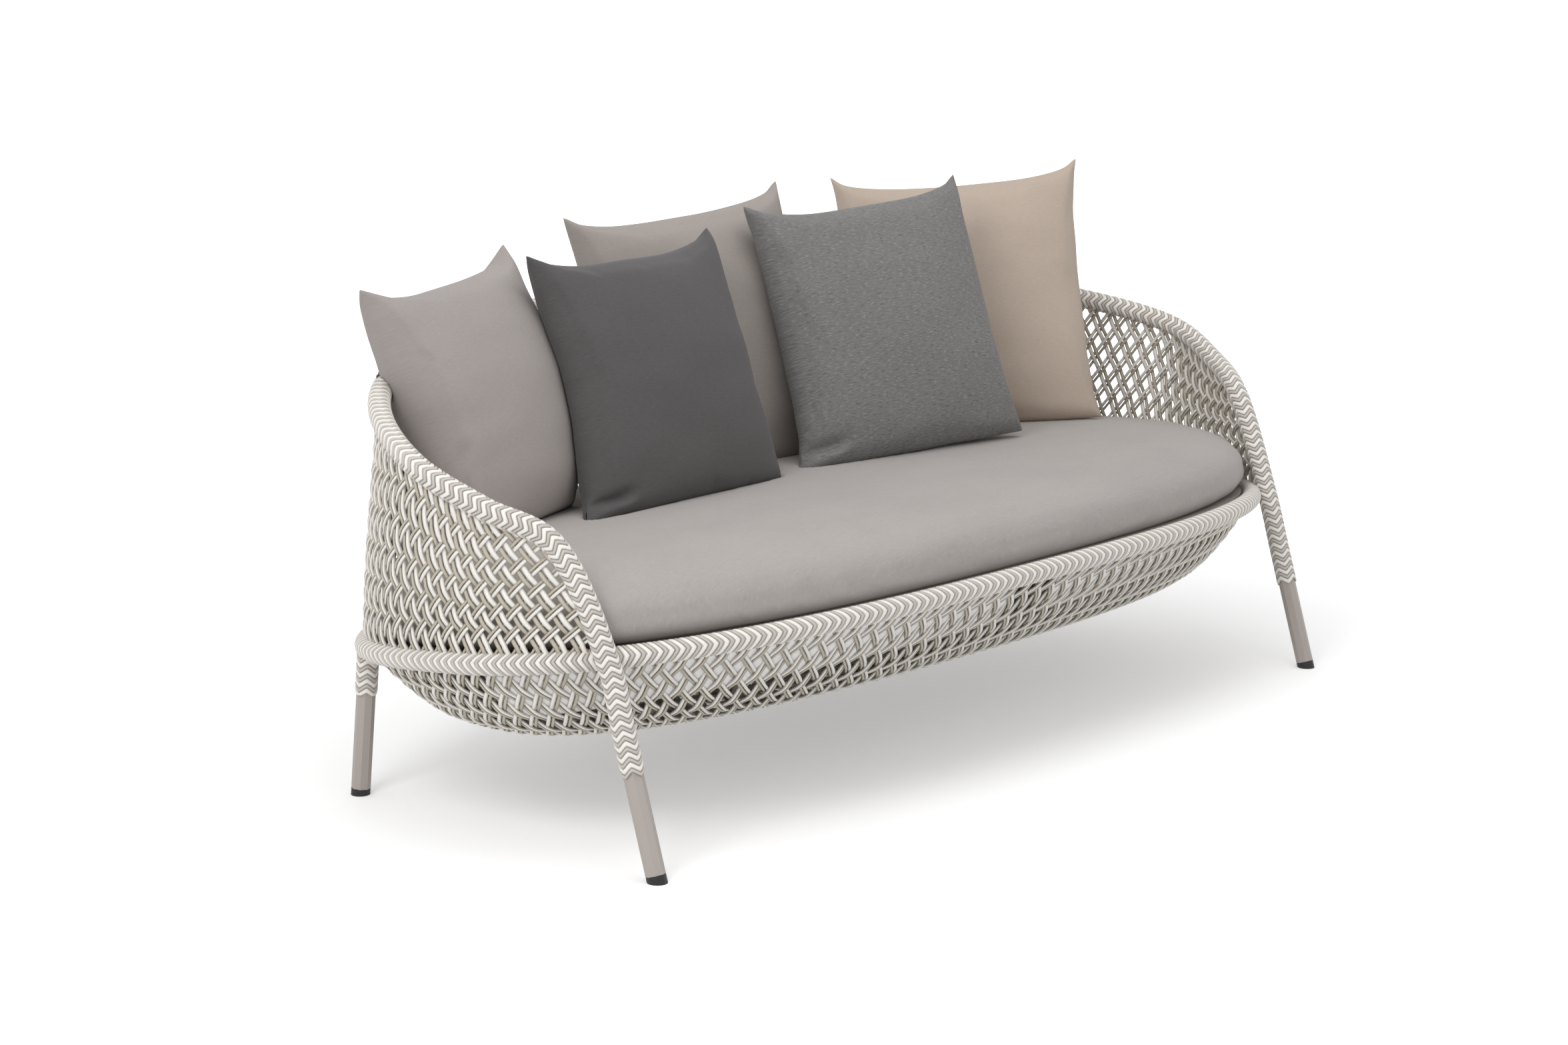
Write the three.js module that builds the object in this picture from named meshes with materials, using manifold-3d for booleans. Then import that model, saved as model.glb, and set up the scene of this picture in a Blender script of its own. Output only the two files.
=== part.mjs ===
// A three-seat garden sofa: a basket of woven strands on a bent tube frame, with loose cushions.
// Millimetres, +Z up, +X to the right as seen from the front, +Y to the back.
// The origin is on the floor, under the middle of the sofa.
import * as THREE from 'three';
import { mergeVertices } from 'three/addons/utils/BufferGeometryUtils.js';
import Module from 'manifold-3d';

const wasm = await Module();
wasm.setup();

// Driving dimensions: the seat ring, a flattened loop that leans down to the back
const ringHalfLength = 979;
const ringHalfDepth = 445;
const ringRoundness = 2.7;
const ringHeight = 296;
const ringLean = 48;

// The rim above it and the legs
const rimHeight = 745;
const frameTubeDiameter = 32;
const ringTubeDiameter = 30;
const tubeWall = 2;
const weldWidth = 22;
const frontLegRake = 100;
const backLegRake = 13;
const backLegSplay = 16;
const glideDrop = 11;
const glidePlugLength = 22;
const glidePlugTaper = 1.5;

// Braid and weave
const braidThickness = 2;
const weaveThickness = 6;
const frontBraidEnd = 168;
const backBraidEnd = 172;

// The basket under the ring
const basketHalfLength = 918;
const basketHalfDepth = 310;
const basketRoundness = 2.57;
const basketShift = 22;
const basketFloorHeight = 170;
const basketEdgeRound = 74;
const floorPlay = 1.6;
const linerThickness = 8;
const linerDepth = 92;
const linerTopDrop = 22;

// Rods inside the basket and the back
const hoopDiameter = 10;
const hoopInset = 140;
const rodDiameter = 10;
const rodCornerRound = 14;
const slingThickness = 3;
const joinerLength = 80;
const joinerPlay = 0.8;

// Cushions
const seatFrontThickness = 112;
const seatBackThickness = 178;
const seatCushionPlay = 4;
const scatterSide = 492;
const scatterThickness = 150;
const scatterTopDraw = 36;
const scatterBottomDraw = 14;
const scatterSideDraw = 13;
const scatterSwellShare = 0.42;

// Clearances
const touchGap = 0.3;

// Openwork of the wall: one coarse lattice of slanted openings stands for the holes of the weave
const openingColumns = 12;
const openingRows = 2;
const openingShare = 0.78;
const openingReach = 40;
const openingEdge = 34;
const shortestOpenWall = 200;

// Shares: places along the sizes above
const frontJointShare = 0.887;
const backJointShare = 0.882;
const rimKnotShares = [
  [0.935, -0.470, 0.677],
  [0.989, -0.262, 0.742],
  [1.016, 0.017, 0.816],
  [0.879, 0.543, 0.901],
  [0.609, 0.861, 0.967],
  [0.306, 0.972, 0.996],
  [0.0, 1.0, 1.0],
];
const rodPlaceShares = [0.36, 0.43, 0.5, 0.57, 0.64];
const uprightShares = [0.2, 0.4, 0.6, 0.8];
const seatProfileShares = [
  [0.60, 0.0], [0.95, 0.0], [0.99, 0.1], [1.016, 0.3], [1.016, 0.5],
  [0.985, 0.72], [0.915, 0.87], [0.78, 0.955], [0.45, 1.0],
];
const linerSpanShares = { left: [0.271, 0.491], right: [0.5155, 0.612] };

// Facets and steps, as counts
const tubeFacets = 8;
const boreFacets = 6;
const frameSteps = 64;
const ringSteps = 48;
const wallColumns = 36;
const wallRows = 1;
const basketRows = 4;
const rodFacets = 6;
const rodSteps = 14;
const seatColumns = 44;
const scatterCells = 10;
const lengthSamples = 1200;
const cradleSamples = 200;

// Scatter cushions: the side as a share of a full one, the middle as shares of the sofa's half length,
// half depth and rim height, and the three turns in degrees
const scatterShares = [
  {
    name: 'taupe_left', finish: 'taupe', size: 0.947,
    at: [-0.6456, 0.5191, 0.8711], yaw: 12.3, lean: 22.5, roll: 3.7,
  },
  {
    name: 'charcoal', finish: 'charcoal', size: 0.955,
    at: [-0.333, 0.3258, 0.8886], yaw: 1.2, lean: 20, roll: 0.7,
  },
  {
    name: 'grey_back', finish: 'grey', size: 1.000,
    at: [-0.0306, 0.7011, 0.9074], yaw: -9.4, lean: 15.6, roll: 4,
  },
  {
    name: 'melange', finish: 'melange', size: 0.992,
    at: [0.2574, 0.2787, 0.9235], yaw: -14.7, lean: 20.1, roll: 3.8,
  },
  {
    name: 'sand_right', finish: 'sand', size: 0.980,
    at: [0.6302, 0.5124, 0.9235], yaw: -43.8, lean: 13.3, roll: 4,
  },
];

// Worked out from the sizes above
const frameRadius = frameTubeDiameter / 2;
const ringRadius = ringTubeDiameter / 2;
const frameBraidInner = frameRadius + touchGap;
const frameBraidOuter = frameBraidInner + braidThickness;
const ringBraidInner = ringRadius + touchGap;
const ringBraidOuter = ringBraidInner + braidThickness;
const rodRadius = rodDiameter / 2;
const hoopRadius = hoopDiameter / 2;
const jointOffset = frameRadius + ringRadius + touchGap;

const finishes = {
  tube: new THREE.MeshStandardMaterial({ color: 0xa79c94, roughness: 0.55, metalness: 0.2 }),
  glide: new THREE.MeshStandardMaterial({ color: 0x17171a, roughness: 0.6, metalness: 0 }),
  braid: new THREE.MeshStandardMaterial({ color: 0xc9c2b8, roughness: 0.7, metalness: 0 }),
  weave: new THREE.MeshStandardMaterial({ color: 0xdcd6c6, roughness: 0.65, metalness: 0 }),
  liner: new THREE.MeshStandardMaterial({ color: 0xf2f1ee, roughness: 0.9, metalness: 0 }),
  sling: new THREE.MeshStandardMaterial({ color: 0x8d8781, roughness: 0.95, metalness: 0 }),
  seat: new THREE.MeshStandardMaterial({ color: 0xa39b95, roughness: 0.95, metalness: 0 }),
  taupe: new THREE.MeshStandardMaterial({ color: 0xa09892, roughness: 0.95, metalness: 0 }),
  charcoal: new THREE.MeshStandardMaterial({ color: 0x4d4c4e, roughness: 0.95, metalness: 0 }),
  grey: new THREE.MeshStandardMaterial({ color: 0x9d9792, roughness: 0.95, metalness: 0 }),
  melange: new THREE.MeshStandardMaterial({ color: 0x75757a, roughness: 0.95, metalness: 0 }),
  sand: new THREE.MeshStandardMaterial({ color: 0xb8a899, roughness: 0.95, metalness: 0 }),
};

const sofa = new THREE.Group();

function addPart(name, geometry, finish) {
  const mesh = new THREE.Mesh(geometry, finish);
  mesh.name = name;
  sofa.add(mesh);
  return mesh;
}

// Closed meshes to solids and back, for cuts
function solidOf(geometry) {
  const bare = geometry.clone();
  for (const name of Object.keys(bare.attributes)) {
    if (name !== 'position') bare.deleteAttribute(name);
  }
  const merged = mergeVertices(bare);
  return new wasm.Manifold(new wasm.Mesh({
    numProp: 3,
    vertProperties: new Float32Array(merged.attributes.position.array),
    triVerts: new Uint32Array(merged.index.array),
  }));
}

function geometryOf(solid) {
  const { vertProperties, triVerts } = solid.getMesh();
  const geometry = new THREE.BufferGeometry();
  geometry.setAttribute('position', new THREE.BufferAttribute(vertProperties, 3));
  geometry.setIndex(new THREE.BufferAttribute(triVerts, 1));
  geometry.computeVertexNormals();
  return geometry;
}

function cutSolid(geometry, cutters) {
  return cutters.reduce((solid, cutter) => solid.subtract(cutter), solidOf(geometry));
}

const cut = (geometry, ...cutters) => geometryOf(cutSolid(geometry, cutters));

// A soft body pressed by its neighbours; crumbs beyond a neighbour are dropped
function pressed(geometry, ...cutters) {
  const bodies = cutSolid(geometry, cutters).decompose();
  return geometryOf(bodies.reduce((largest, body) => (body.volume() > largest.volume() ? body : largest)));
}

// A loop whose outline is a superellipse, walked by the direction angle from its middle
class FlatLoop extends THREE.Curve {
  constructor({ halfLength, halfDepth, roundness, shift = 0, heightAt, from = 0, to = 2 * Math.PI }) {
    super();
    Object.assign(this, { halfLength, halfDepth, roundness, shift, heightAt, from, to });
    this.arcLengthDivisions = lengthSamples;
  }

  getPoint(share, target = new THREE.Vector3()) {
    const angle = this.from + (this.to - this.from) * share;
    const across = Math.abs(Math.cos(angle) / this.halfLength) ** this.roundness;
    const along = Math.abs(Math.sin(angle) / this.halfDepth) ** this.roundness;
    const reach = (across + along) ** (-1 / this.roundness);
    const y = reach * Math.sin(angle) + this.shift;
    return target.set(reach * Math.cos(angle), y, this.heightAt(y));
  }
}

const ringHeightAt = (y) => ringHeight - (ringLean * y) / ringHalfDepth;

// The depth of a superellipse at a share of its half length
const depthShareAt = (lengthShare) => (1 - Math.abs(lengthShare) ** ringRoundness) ** (1 / ringRoundness);

// A closed loop starts and ends at the back, with a butt joint there
function backJointLoop(sizes) {
  const halfSeam = touchGap / 2 / sizes.halfDepth;
  return new FlatLoop({ ...sizes, from: Math.PI / 2 + halfSeam, to: (5 * Math.PI) / 2 - halfSeam });
}

const ringSizes = {
  halfLength: ringHalfLength, halfDepth: ringHalfDepth, roundness: ringRoundness, heightAt: ringHeightAt,
};
const ringPath = backJointLoop(ringSizes);

function ringPointAt(lengthShare, back) {
  const y = (back ? 1 : -1) * ringHalfDepth * depthShareAt(lengthShare);
  return new THREE.Vector3(ringHalfLength * lengthShare, y, ringHeightAt(y));
}

// The ring's own outward direction, seen from above
function ringOutwardAt(lengthShare, back) {
  const depthShare = depthShareAt(lengthShare);
  const power = ringRoundness - 1;
  const x = (Math.sign(lengthShare) * Math.abs(lengthShare) ** power) / ringHalfLength;
  const y = ((back ? 1 : -1) * depthShare ** power) / ringHalfDepth;
  return new THREE.Vector3(x, y, 0).normalize();
}

// One bent tube makes both front legs and the rim between them
const frontJoint = ringPointAt(frontJointShare, false)
  .addScaledVector(ringOutwardAt(frontJointShare, false), jointOffset);
const frontFootFloor = new THREE.Vector3(frontJoint.x, frontJoint.y - frontLegRake, 0);
const frontLegAxis = frontJoint.clone().sub(frontFootFloor).normalize();
const frontLegStart = frontFootFloor.clone().addScaledVector(frontLegAxis, glideDrop);
const backJoint = ringPointAt(backJointShare, true);
const backFootFloor = new THREE.Vector3(backJoint.x + backLegSplay, backJoint.y + backLegRake, 0);
const backLegAxis = backJoint.clone().sub(backFootFloor).normalize();
const backLegStart = backFootFloor.clone().addScaledVector(backLegAxis, glideDrop);

const mirrored = (point) => new THREE.Vector3(-point.x, point.y, point.z);
const rightHalf = [
  frontLegStart,
  frontLegStart.clone().lerp(frontJoint, 1 / 3),
  frontLegStart.clone().lerp(frontJoint, 2 / 3),
  frontJoint,
  ...rimKnotShares.map(([x, y, z]) => (
    new THREE.Vector3(x * ringHalfLength, y * ringHalfDepth, z * rimHeight)
  )),
];
const leftHalf = rightHalf.slice(0, -1).reverse().map(mirrored);
const framePath = new THREE.CatmullRomCurve3([...rightHalf, ...leftHalf]);
framePath.arcLengthDivisions = lengthSamples;

// Tubes, sleeves and rods are round sections drawn along a path
function sweep(path, steps, outerRadius, innerRadius = 0, facets = tubeFacets, innerFacets = facets) {
  const section = new THREE.Shape();
  section.absarc(0, 0, outerRadius, 0, 2 * Math.PI);
  if (innerRadius > 0) {
    const corners = Array.from({ length: innerFacets }, (_, number) => {
      const angle = (-2 * Math.PI * number) / innerFacets;
      return new THREE.Vector2(innerRadius * Math.cos(angle), innerRadius * Math.sin(angle));
    });
    section.holes.push(new THREE.Path(corners));
  }
  return new THREE.ExtrudeGeometry(section, {
    steps, curveSegments: facets / 2, bevelEnabled: false, extrudePath: path,
  });
}

// A box that removes everything on the far side of a plane
function planeCutter(point, normal, reach = ringHalfLength) {
  const box = new THREE.BoxGeometry(reach, reach, reach);
  box.translate(0, 0, reach / 2);
  box.applyQuaternion(new THREE.Quaternion().setFromUnitVectors(new THREE.Vector3(0, 0, 1), normal));
  box.translate(point.x, point.y, point.z);
  return solidOf(box);
}

// A solid ring with its seam bridged
function ringBar(radius) {
  const reach = radius / ringHalfDepth / 2;
  const bridge = new FlatLoop({ ...ringSizes, from: Math.PI / 2 - reach, to: Math.PI / 2 + reach });
  const bar = solidOf(sweep(ringPath, ringSteps, radius));
  return bar.add(solidOf(sweep(bridge, 1, radius, 0, 4 * tubeFacets)));
}

// Solid bars as thick as a finished tube or sleeve, plus the gap that a neighbour keeps
const frameClear = solidOf(sweep(framePath, frameSteps, frameBraidOuter + touchGap));
const ringTubeClear = ringBar(ringRadius + touchGap);
const ringClear = ringBar(ringBraidOuter + touchGap);

const boreRadius = (outerRadius) => outerRadius - tubeWall;
const tube = (path, steps, radius) => sweep(path, steps, radius, boreRadius(radius), tubeFacets, boreFacets);

function makeFrame() {
  addPart('rim_and_front_legs', tube(framePath, frameSteps, frameRadius), finishes.tube);
  addPart('seat_ring', tube(ringPath, ringSteps, ringRadius), finishes.tube);

  const joinerTurn = joinerLength / 2 / ringHalfDepth / 2;
  const joinerPath = new FlatLoop({
    ...ringSizes, from: Math.PI / 2 - joinerTurn, to: Math.PI / 2 + joinerTurn,
  });
  const joinerRadius = boreRadius(ringRadius) * Math.cos(Math.PI / boreFacets) - joinerPlay;
  addPart('seat_ring_joiner', sweep(joinerPath, 2, joinerRadius), finishes.tube);
}

const legEndDrop = ringRadius / 2;
function backLegPath(mirror) {
  const top = backJoint.clone().addScaledVector(backLegAxis, -legEndDrop);
  const ends = [backLegStart, top];
  return new THREE.LineCurve3(...(mirror ? ends.map(mirrored) : ends));
}

const backLegClears = [];
function makeBackLegs() {
  for (const [side, mirror] of [['right', false], ['left', true]]) {
    const path = backLegPath(mirror);
    addPart(`back_leg_${side}`, cut(tube(path, 1, frameRadius), ringTubeClear), finishes.tube);
    backLegClears.push(solidOf(sweep(path, 1, frameBraidOuter + touchGap)));
  }
}

// A black plug glide: its shank sits in the tube, its sole is cut flat on the floor
function glideGeometry(floorPoint, axis) {
  const bore = boreRadius(frameRadius) * Math.cos(Math.PI / boreFacets) - touchGap;
  const profile = [
    [0, -glideDrop], [frameRadius, -glideDrop], [frameRadius, glideDrop - touchGap],
    [bore, glideDrop - touchGap], [bore - glidePlugTaper, glideDrop + glidePlugLength],
    [0, glideDrop + glidePlugLength],
  ].map(([radius, height]) => new THREE.Vector2(radius, height));
  const geometry = new THREE.LatheGeometry(profile, 2 * tubeFacets);
  geometry.rotateX(Math.PI / 2);
  geometry.applyQuaternion(new THREE.Quaternion().setFromUnitVectors(new THREE.Vector3(0, 0, 1), axis));
  geometry.translate(floorPoint.x, floorPoint.y, floorPoint.z);
  return cut(geometry, planeCutter(floorPoint, new THREE.Vector3(0, 0, -1)));
}

function makeGlides() {
  const feet = { front: [frontFootFloor, frontLegAxis], back: [backFootFloor, backLegAxis] };
  for (const [end, [floorPoint, axis]] of Object.entries(feet)) {
    addPart(`glide_${end}_right`, glideGeometry(floorPoint, axis), finishes.glide);
    addPart(`glide_${end}_left`, glideGeometry(mirrored(floorPoint), mirrored(axis)), finishes.glide);
  }
}

// The room that the weld between a front leg and the ring takes through both sleeves
function weldWindow(mirror) {
  const ends = [frontJoint, ringPointAt(frontJointShare, false)];
  return solidOf(sweep(new THREE.LineCurve3(...(mirror ? ends.map(mirrored) : ends)), 1, weldWidth / 2));
}

// Braid sleeves over the tubes; they stop short on the legs and make room for each other
function makeBraids() {
  const weldWindows = [false, true].map(weldWindow);
  const rightEnd = frontFootFloor.clone().addScaledVector(frontLegAxis, frontBraidEnd);
  const frameSleeve = sweep(framePath, frameSteps, frameBraidOuter, frameBraidInner);
  const frameBraid = cut(
    frameSleeve,
    planeCutter(rightEnd, frontLegAxis.clone().negate()),
    planeCutter(mirrored(rightEnd), mirrored(frontLegAxis).negate()),
    ringTubeClear,
    ...weldWindows,
  );
  addPart('rim_braid', frameBraid, finishes.braid);

  const ringSleeve = sweep(ringPath, ringSteps, ringBraidOuter, ringBraidInner);
  const bareLegs = [false, true].map((mirror) => (
    solidOf(sweep(backLegPath(mirror), 1, frameRadius + touchGap))
  ));
  addPart('seat_ring_braid', cut(ringSleeve, frameClear, ...bareLegs, ...weldWindows), finishes.braid);

  for (const [side, mirror] of [['right', false], ['left', true]]) {
    const path = backLegPath(mirror);
    const axis = mirror ? mirrored(backLegAxis) : backLegAxis;
    const floorPoint = mirror ? mirrored(backFootFloor) : backFootFloor;
    const end = floorPoint.clone().addScaledVector(axis, backBraidEnd);
    const sleeve = sweep(path, 1, frameBraidOuter, frameBraidInner);
    const braid = cut(sleeve, planeCutter(end, axis.clone().negate()), ringClear);
    addPart(`back_leg_braid_${side}`, braid, finishes.braid);
  }
}

// A sheet of even thickness over a grid of points; rows run along, columns run across
function sheetGeometry(grid, thickness) {
  const rows = grid.length;
  const columns = grid[0].length;
  const positions = [];
  for (const side of [1, -1]) {
    grid.forEach((line, row) => line.forEach((point, column) => {
      const next = line[Math.min(column + 1, columns - 1)];
      const along = next.clone().sub(line[Math.max(column - 1, 0)]);
      const lower = grid[Math.min(row + 1, rows - 1)][column];
      const down = lower.clone().sub(grid[Math.max(row - 1, 0)][column]);
      const normal = along.cross(down).normalize();
      positions.push(...point.clone().addScaledVector(normal, (side * thickness) / 2).toArray());
    }));
  }
  const at = (layer, row, column) => (layer * rows + row) * columns + column;
  const faces = [];
  const quad = (a, b, c, d) => faces.push(a, b, c, a, c, d);
  const [lastRow, lastColumn] = [rows - 1, columns - 1];
  for (let column = 0; column < lastColumn; column += 1) {
    const next = column + 1;
    for (let row = 0; row < lastRow; row += 1) {
      quad(at(0, row, column), at(0, row, next), at(0, row + 1, next), at(0, row + 1, column));
      quad(at(1, row, column), at(1, row + 1, column), at(1, row + 1, next), at(1, row, next));
    }
    quad(at(0, 0, column), at(1, 0, column), at(1, 0, next), at(0, 0, next));
    quad(at(0, lastRow, column), at(0, lastRow, next), at(1, lastRow, next), at(1, lastRow, column));
  }
  for (let row = 0; row < lastRow; row += 1) {
    const next = row + 1;
    quad(at(0, row, 0), at(0, next, 0), at(1, next, 0), at(1, row, 0));
    quad(at(0, row, lastColumn), at(1, row, lastColumn), at(1, next, lastColumn), at(0, next, lastColumn));
  }
  const geometry = new THREE.BufferGeometry();
  geometry.setAttribute('position', new THREE.Float32BufferAttribute(positions, 3));
  geometry.setIndex(faces);
  return geometry;
}

// The wall: straight lines from the ring to the rim, from one front joint round to the other
const legShare = frontLegStart.distanceTo(frontJoint) / framePath.getLength();
const jointAngle = Math.atan2(ringPointAt(frontJointShare, false).y, ringHalfLength * frontJointShare);
const wallRingArc = new FlatLoop({ ...ringSizes, from: jointAngle, to: Math.PI - jointAngle });

function wallLine(share) {
  return [wallRingArc.getPointAt(share), framePath.getPointAt(legShare + (1 - 2 * legShare) * share)];
}

// A point of the wall; the level runs between the edges that stay whole along the ring and the rim
function wallPoint(share, level) {
  const [low, high] = wallLine(share);
  const height = low.distanceTo(high);
  return low.lerp(high, (openingEdge + level * (height - 2 * openingEdge)) / height);
}

function wallOpening(share, level, cellWidth, cellHeight) {
  const halfWidth = (cellWidth * openingShare) / 2;
  const halfHeight = (cellHeight * openingShare) / 2;
  const corners = [
    wallPoint(share - halfWidth, level), wallPoint(share, level - halfHeight),
    wallPoint(share + halfWidth, level), wallPoint(share, level + halfHeight),
  ];
  const [left, foot, right, head] = corners;
  const normal = right.clone().sub(left).cross(head.clone().sub(foot)).normalize();
  const ends = [-openingReach, openingReach].map((reach) => (
    corners.map((corner) => corner.clone().addScaledVector(normal, reach))
  ));
  const middles = ends.map(([a, , b]) => a.clone().lerp(b, 1 / 2));
  return solidOf(stackGeometry(ends, ...middles));
}

// The wall's height where an opening is nearest to a front joint
function heightBeside(share, cellWidth) {
  const heights = [-1, 1].map((side) => {
    const [low, high] = wallLine(share + (side * cellWidth) / 2);
    return low.distanceTo(high);
  });
  return Math.min(...heights);
}

// Openings in rows, every other row shifted by half an opening, as far out as the wall is high enough
function wallOpenings(first) {
  const cellWidth = (1 - 2 * first) / openingColumns;
  const cellHeight = 1 / openingRows;
  const openings = [];
  for (let row = 0; row < 2 * openingRows - 1; row += 1) {
    const shift = row % 2;
    for (let column = shift; column < openingColumns; column += 1) {
      const share = first + (column + (1 - shift) / 2) * cellWidth;
      if (heightBeside(share, cellWidth) >= shortestOpenWall) {
        openings.push(wallOpening(share, ((row + 1) * cellHeight) / 2, cellWidth, cellHeight));
      }
    }
  }
  return openings;
}

let wallClear;
const uprightClears = [];
function makeWall() {
  const first = (frameBraidOuter + ringBraidOuter + jointOffset) / wallRingArc.getLength();
  const lines = Array.from({ length: wallColumns + 1 }, (_, column) => (
    wallLine(first + ((1 - 2 * first) * column) / wallColumns)
  ));
  const grid = Array.from({ length: wallRows + 1 }, (_, row) => (
    lines.map(([low, high]) => low.clone().lerp(high, row / wallRows))
  ));
  const wall = sheetGeometry(grid, weaveThickness);
  addPart('wall_weave', cut(wall, ringClear, frameClear, ...wallOpenings(first)), finishes.weave);
  wallClear = solidOf(sheetGeometry(grid, weaveThickness + 2 * touchGap));

  const inset = weaveThickness / 2 + rodRadius + touchGap;
  uprightShares.forEach((place, number) => {
    const column = Math.round(wallColumns * place);
    const share = first + ((1 - 2 * first) * column) / wallColumns;
    const [low, high] = wallLine(share);
    const [nextLow] = wallLine(share + 1 / wallColumns / 2);
    const inward = high.clone().sub(low).cross(nextLow.sub(low)).normalize();
    if (inward.x * low.x + inward.y * low.y > 0) inward.negate();
    low.addScaledVector(inward, inset);
    high.addScaledVector(inward, inset);
    const path = new THREE.LineCurve3(low, high);
    const rod = sweep(path, 1, rodRadius, 0, rodFacets);
    addPart(`back_upright_${number + 1}`, cut(rod, ringClear, frameClear), finishes.tube);
    uprightClears.push(solidOf(sweep(path, 1, rodRadius + touchGap, 0, rodFacets)));
  });
}

// The basket side: from the ring down and in, then rounded under to the floor
function basketLoop(inset, height) {
  return backJointLoop({
    halfLength: basketHalfLength - inset,
    halfDepth: basketHalfDepth - inset,
    roundness: basketRoundness,
    shift: -basketShift,
    heightAt: () => height,
  });
}
const basketEdge = basketLoop(0, basketFloorHeight);
const basketFloorEdge = basketLoop(basketEdgeRound, basketFloorHeight);

function basketLine(share) {
  const top = ringPath.getPointAt(share);
  const corner = basketEdge.getPointAt(share);
  const under = basketFloorEdge.getPointAt(share);
  return new THREE.CubicBezierCurve3(top, top.clone().lerp(corner, 1 / 2), corner, under);
}

// Points of the basket side from one share of its round to another, moved inwards by an inset
function basketGrid(from, to, columns, rows, inset, depthAt) {
  const lines = Array.from({ length: columns }, (_, column) => (
    basketLine(from + ((to - from) * column) / (columns - 1))
  ));
  const grid = Array.from({ length: rows + 1 }, (_, row) => lines.map((line) => {
    const [start, end] = depthAt(line);
    return line.getPointAt(start + ((end - start) * row) / rows);
  }));
  return grid.map((line, row) => line.map((point, column) => {
    const next = line[Math.min(column + 1, columns - 1)];
    const along = next.clone().sub(line[Math.max(column - 1, 0)]);
    const lower = grid[Math.min(row + 1, rows)][column];
    const down = lower.clone().sub(grid[Math.max(row - 1, 0)][column]);
    const inward = down.cross(along).normalize();
    if (inward.x * point.x + inward.y * point.y > 0) inward.negate();
    return point.clone().addScaledVector(inward, inset);
  }));
}

function makeBasket() {
  const grid = basketGrid(0, 1, ringSteps + 1, basketRows, 0, () => [0, 1]);
  const side = cut(sheetGeometry(grid, weaveThickness), ringClear, ...backLegClears);
  addPart('basket_side_weave', side, finishes.weave);
  const sideClear = solidOf(sheetGeometry(grid, weaveThickness + 2 * touchGap));

  const floorInset = basketEdgeRound + floorPlay;
  const outline = basketLoop(floorInset, 0).getSpacedPoints(ringSteps);
  const shape = new THREE.Shape(outline.map((point) => new THREE.Vector2(point.x, point.y)));
  const floor = new THREE.ExtrudeGeometry(shape, { depth: weaveThickness, bevelEnabled: false });
  floor.translate(0, 0, basketFloorHeight - weaveThickness / 2);
  addPart('basket_floor_weave', floor, finishes.weave);

  const hoopHeight = basketFloorHeight + weaveThickness / 2 + touchGap + hoopRadius;
  const hoop = sweep(basketLoop(hoopInset, hoopHeight), ringSteps, hoopRadius, 0, rodFacets);
  addPart('basket_hoop', hoop, finishes.tube);

  for (const [end, span] of Object.entries(linerSpanShares)) {
    const inset = (weaveThickness + linerThickness) / 2 + touchGap;
    const columns = Math.round(ringSteps * (span[1] - span[0])) + 1;
    const liner = basketGrid(...span, columns, 1, inset, (line) => {
      const length = line.getLength();
      return [linerTopDrop / length, (linerTopDrop + linerDepth) / length];
    });
    addPart(`inner_liner_${end}`, cut(sheetGeometry(liner, linerThickness), sideClear), finishes.liner);
  }
}

// Rods under the seat: one straight across the ring, one down the basket and over the hoop, at each place
const hoopTop = basketFloorHeight + weaveThickness / 2 + touchGap + hoopDiameter;

function roundedPath(corners) {
  const path = new THREE.CurvePath();
  let start = corners[0];
  for (let index = 1; index < corners.length - 1; index += 1) {
    const [before, corner, after] = corners.slice(index - 1, index + 2);
    const enter = corner.clone().addScaledVector(before.clone().sub(corner).normalize(), rodCornerRound);
    const leave = corner.clone().addScaledVector(after.clone().sub(corner).normalize(), rodCornerRound);
    path.add(new THREE.LineCurve3(start, enter));
    path.add(new THREE.QuadraticBezierCurve3(enter, corner, leave));
    start = leave;
  }
  path.add(new THREE.LineCurve3(start, corners[corners.length - 1]));
  return path;
}

// A point of the basket side, moved to the middle of a rod that clears the liner
function cradlePoint(share, depthShare) {
  const step = 1 / ringSteps;
  const point = basketLine(share).getPointAt(depthShare);
  const along = basketLine((share + step) % 1).getPointAt(depthShare).sub(point);
  const down = basketLine(share).getTangentAt(depthShare);
  const inward = down.cross(along).normalize();
  if (inward.x * point.x + inward.y * point.y > 0) inward.negate();
  return point.addScaledVector(inward, weaveThickness / 2 + linerThickness + rodRadius + 2 * touchGap);
}

const cradleHoop = basketLoop(basketEdgeRound + 2 * hoopDiameter, hoopTop + touchGap + rodRadius);

function makeSeatRods() {
  rodPlaceShares.forEach((share, number) => {
    const backShare = (3 / 2 - share) % 1;
    const straightPath = new THREE.LineCurve3(ringPath.getPointAt(share), ringPath.getPointAt(backShare));
    const straight = sweep(straightPath, 1, rodRadius, 0, rodFacets);
    addPart(`seat_rod_${number + 1}`, cut(straight, ringClear), finishes.tube);

    const axis = new THREE.Line3(straightPath.v1, straightPath.v2);
    const [front, back] = [share, backShare].map((place) => {
      const points = Array.from({ length: cradleSamples / 2 }, (_, step) => (
        cradlePoint(place, step / cradleSamples)
      ));
      const clear = points.filter((point) => {
        const nearest = axis.closestPointToPoint(point, true, new THREE.Vector3());
        return nearest.z > point.z && nearest.distanceTo(point) > rodDiameter + touchGap;
      });
      return [clear[0], cradleHoop.getPointAt(place)];
    });
    const cradle = sweep(roundedPath([...front, ...back.reverse()]), rodSteps, rodRadius, 0, rodFacets);
    addPart(`cradle_rod_${number + 1}`, cut(cradle, ringClear), finishes.tube);
  });
}

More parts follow.
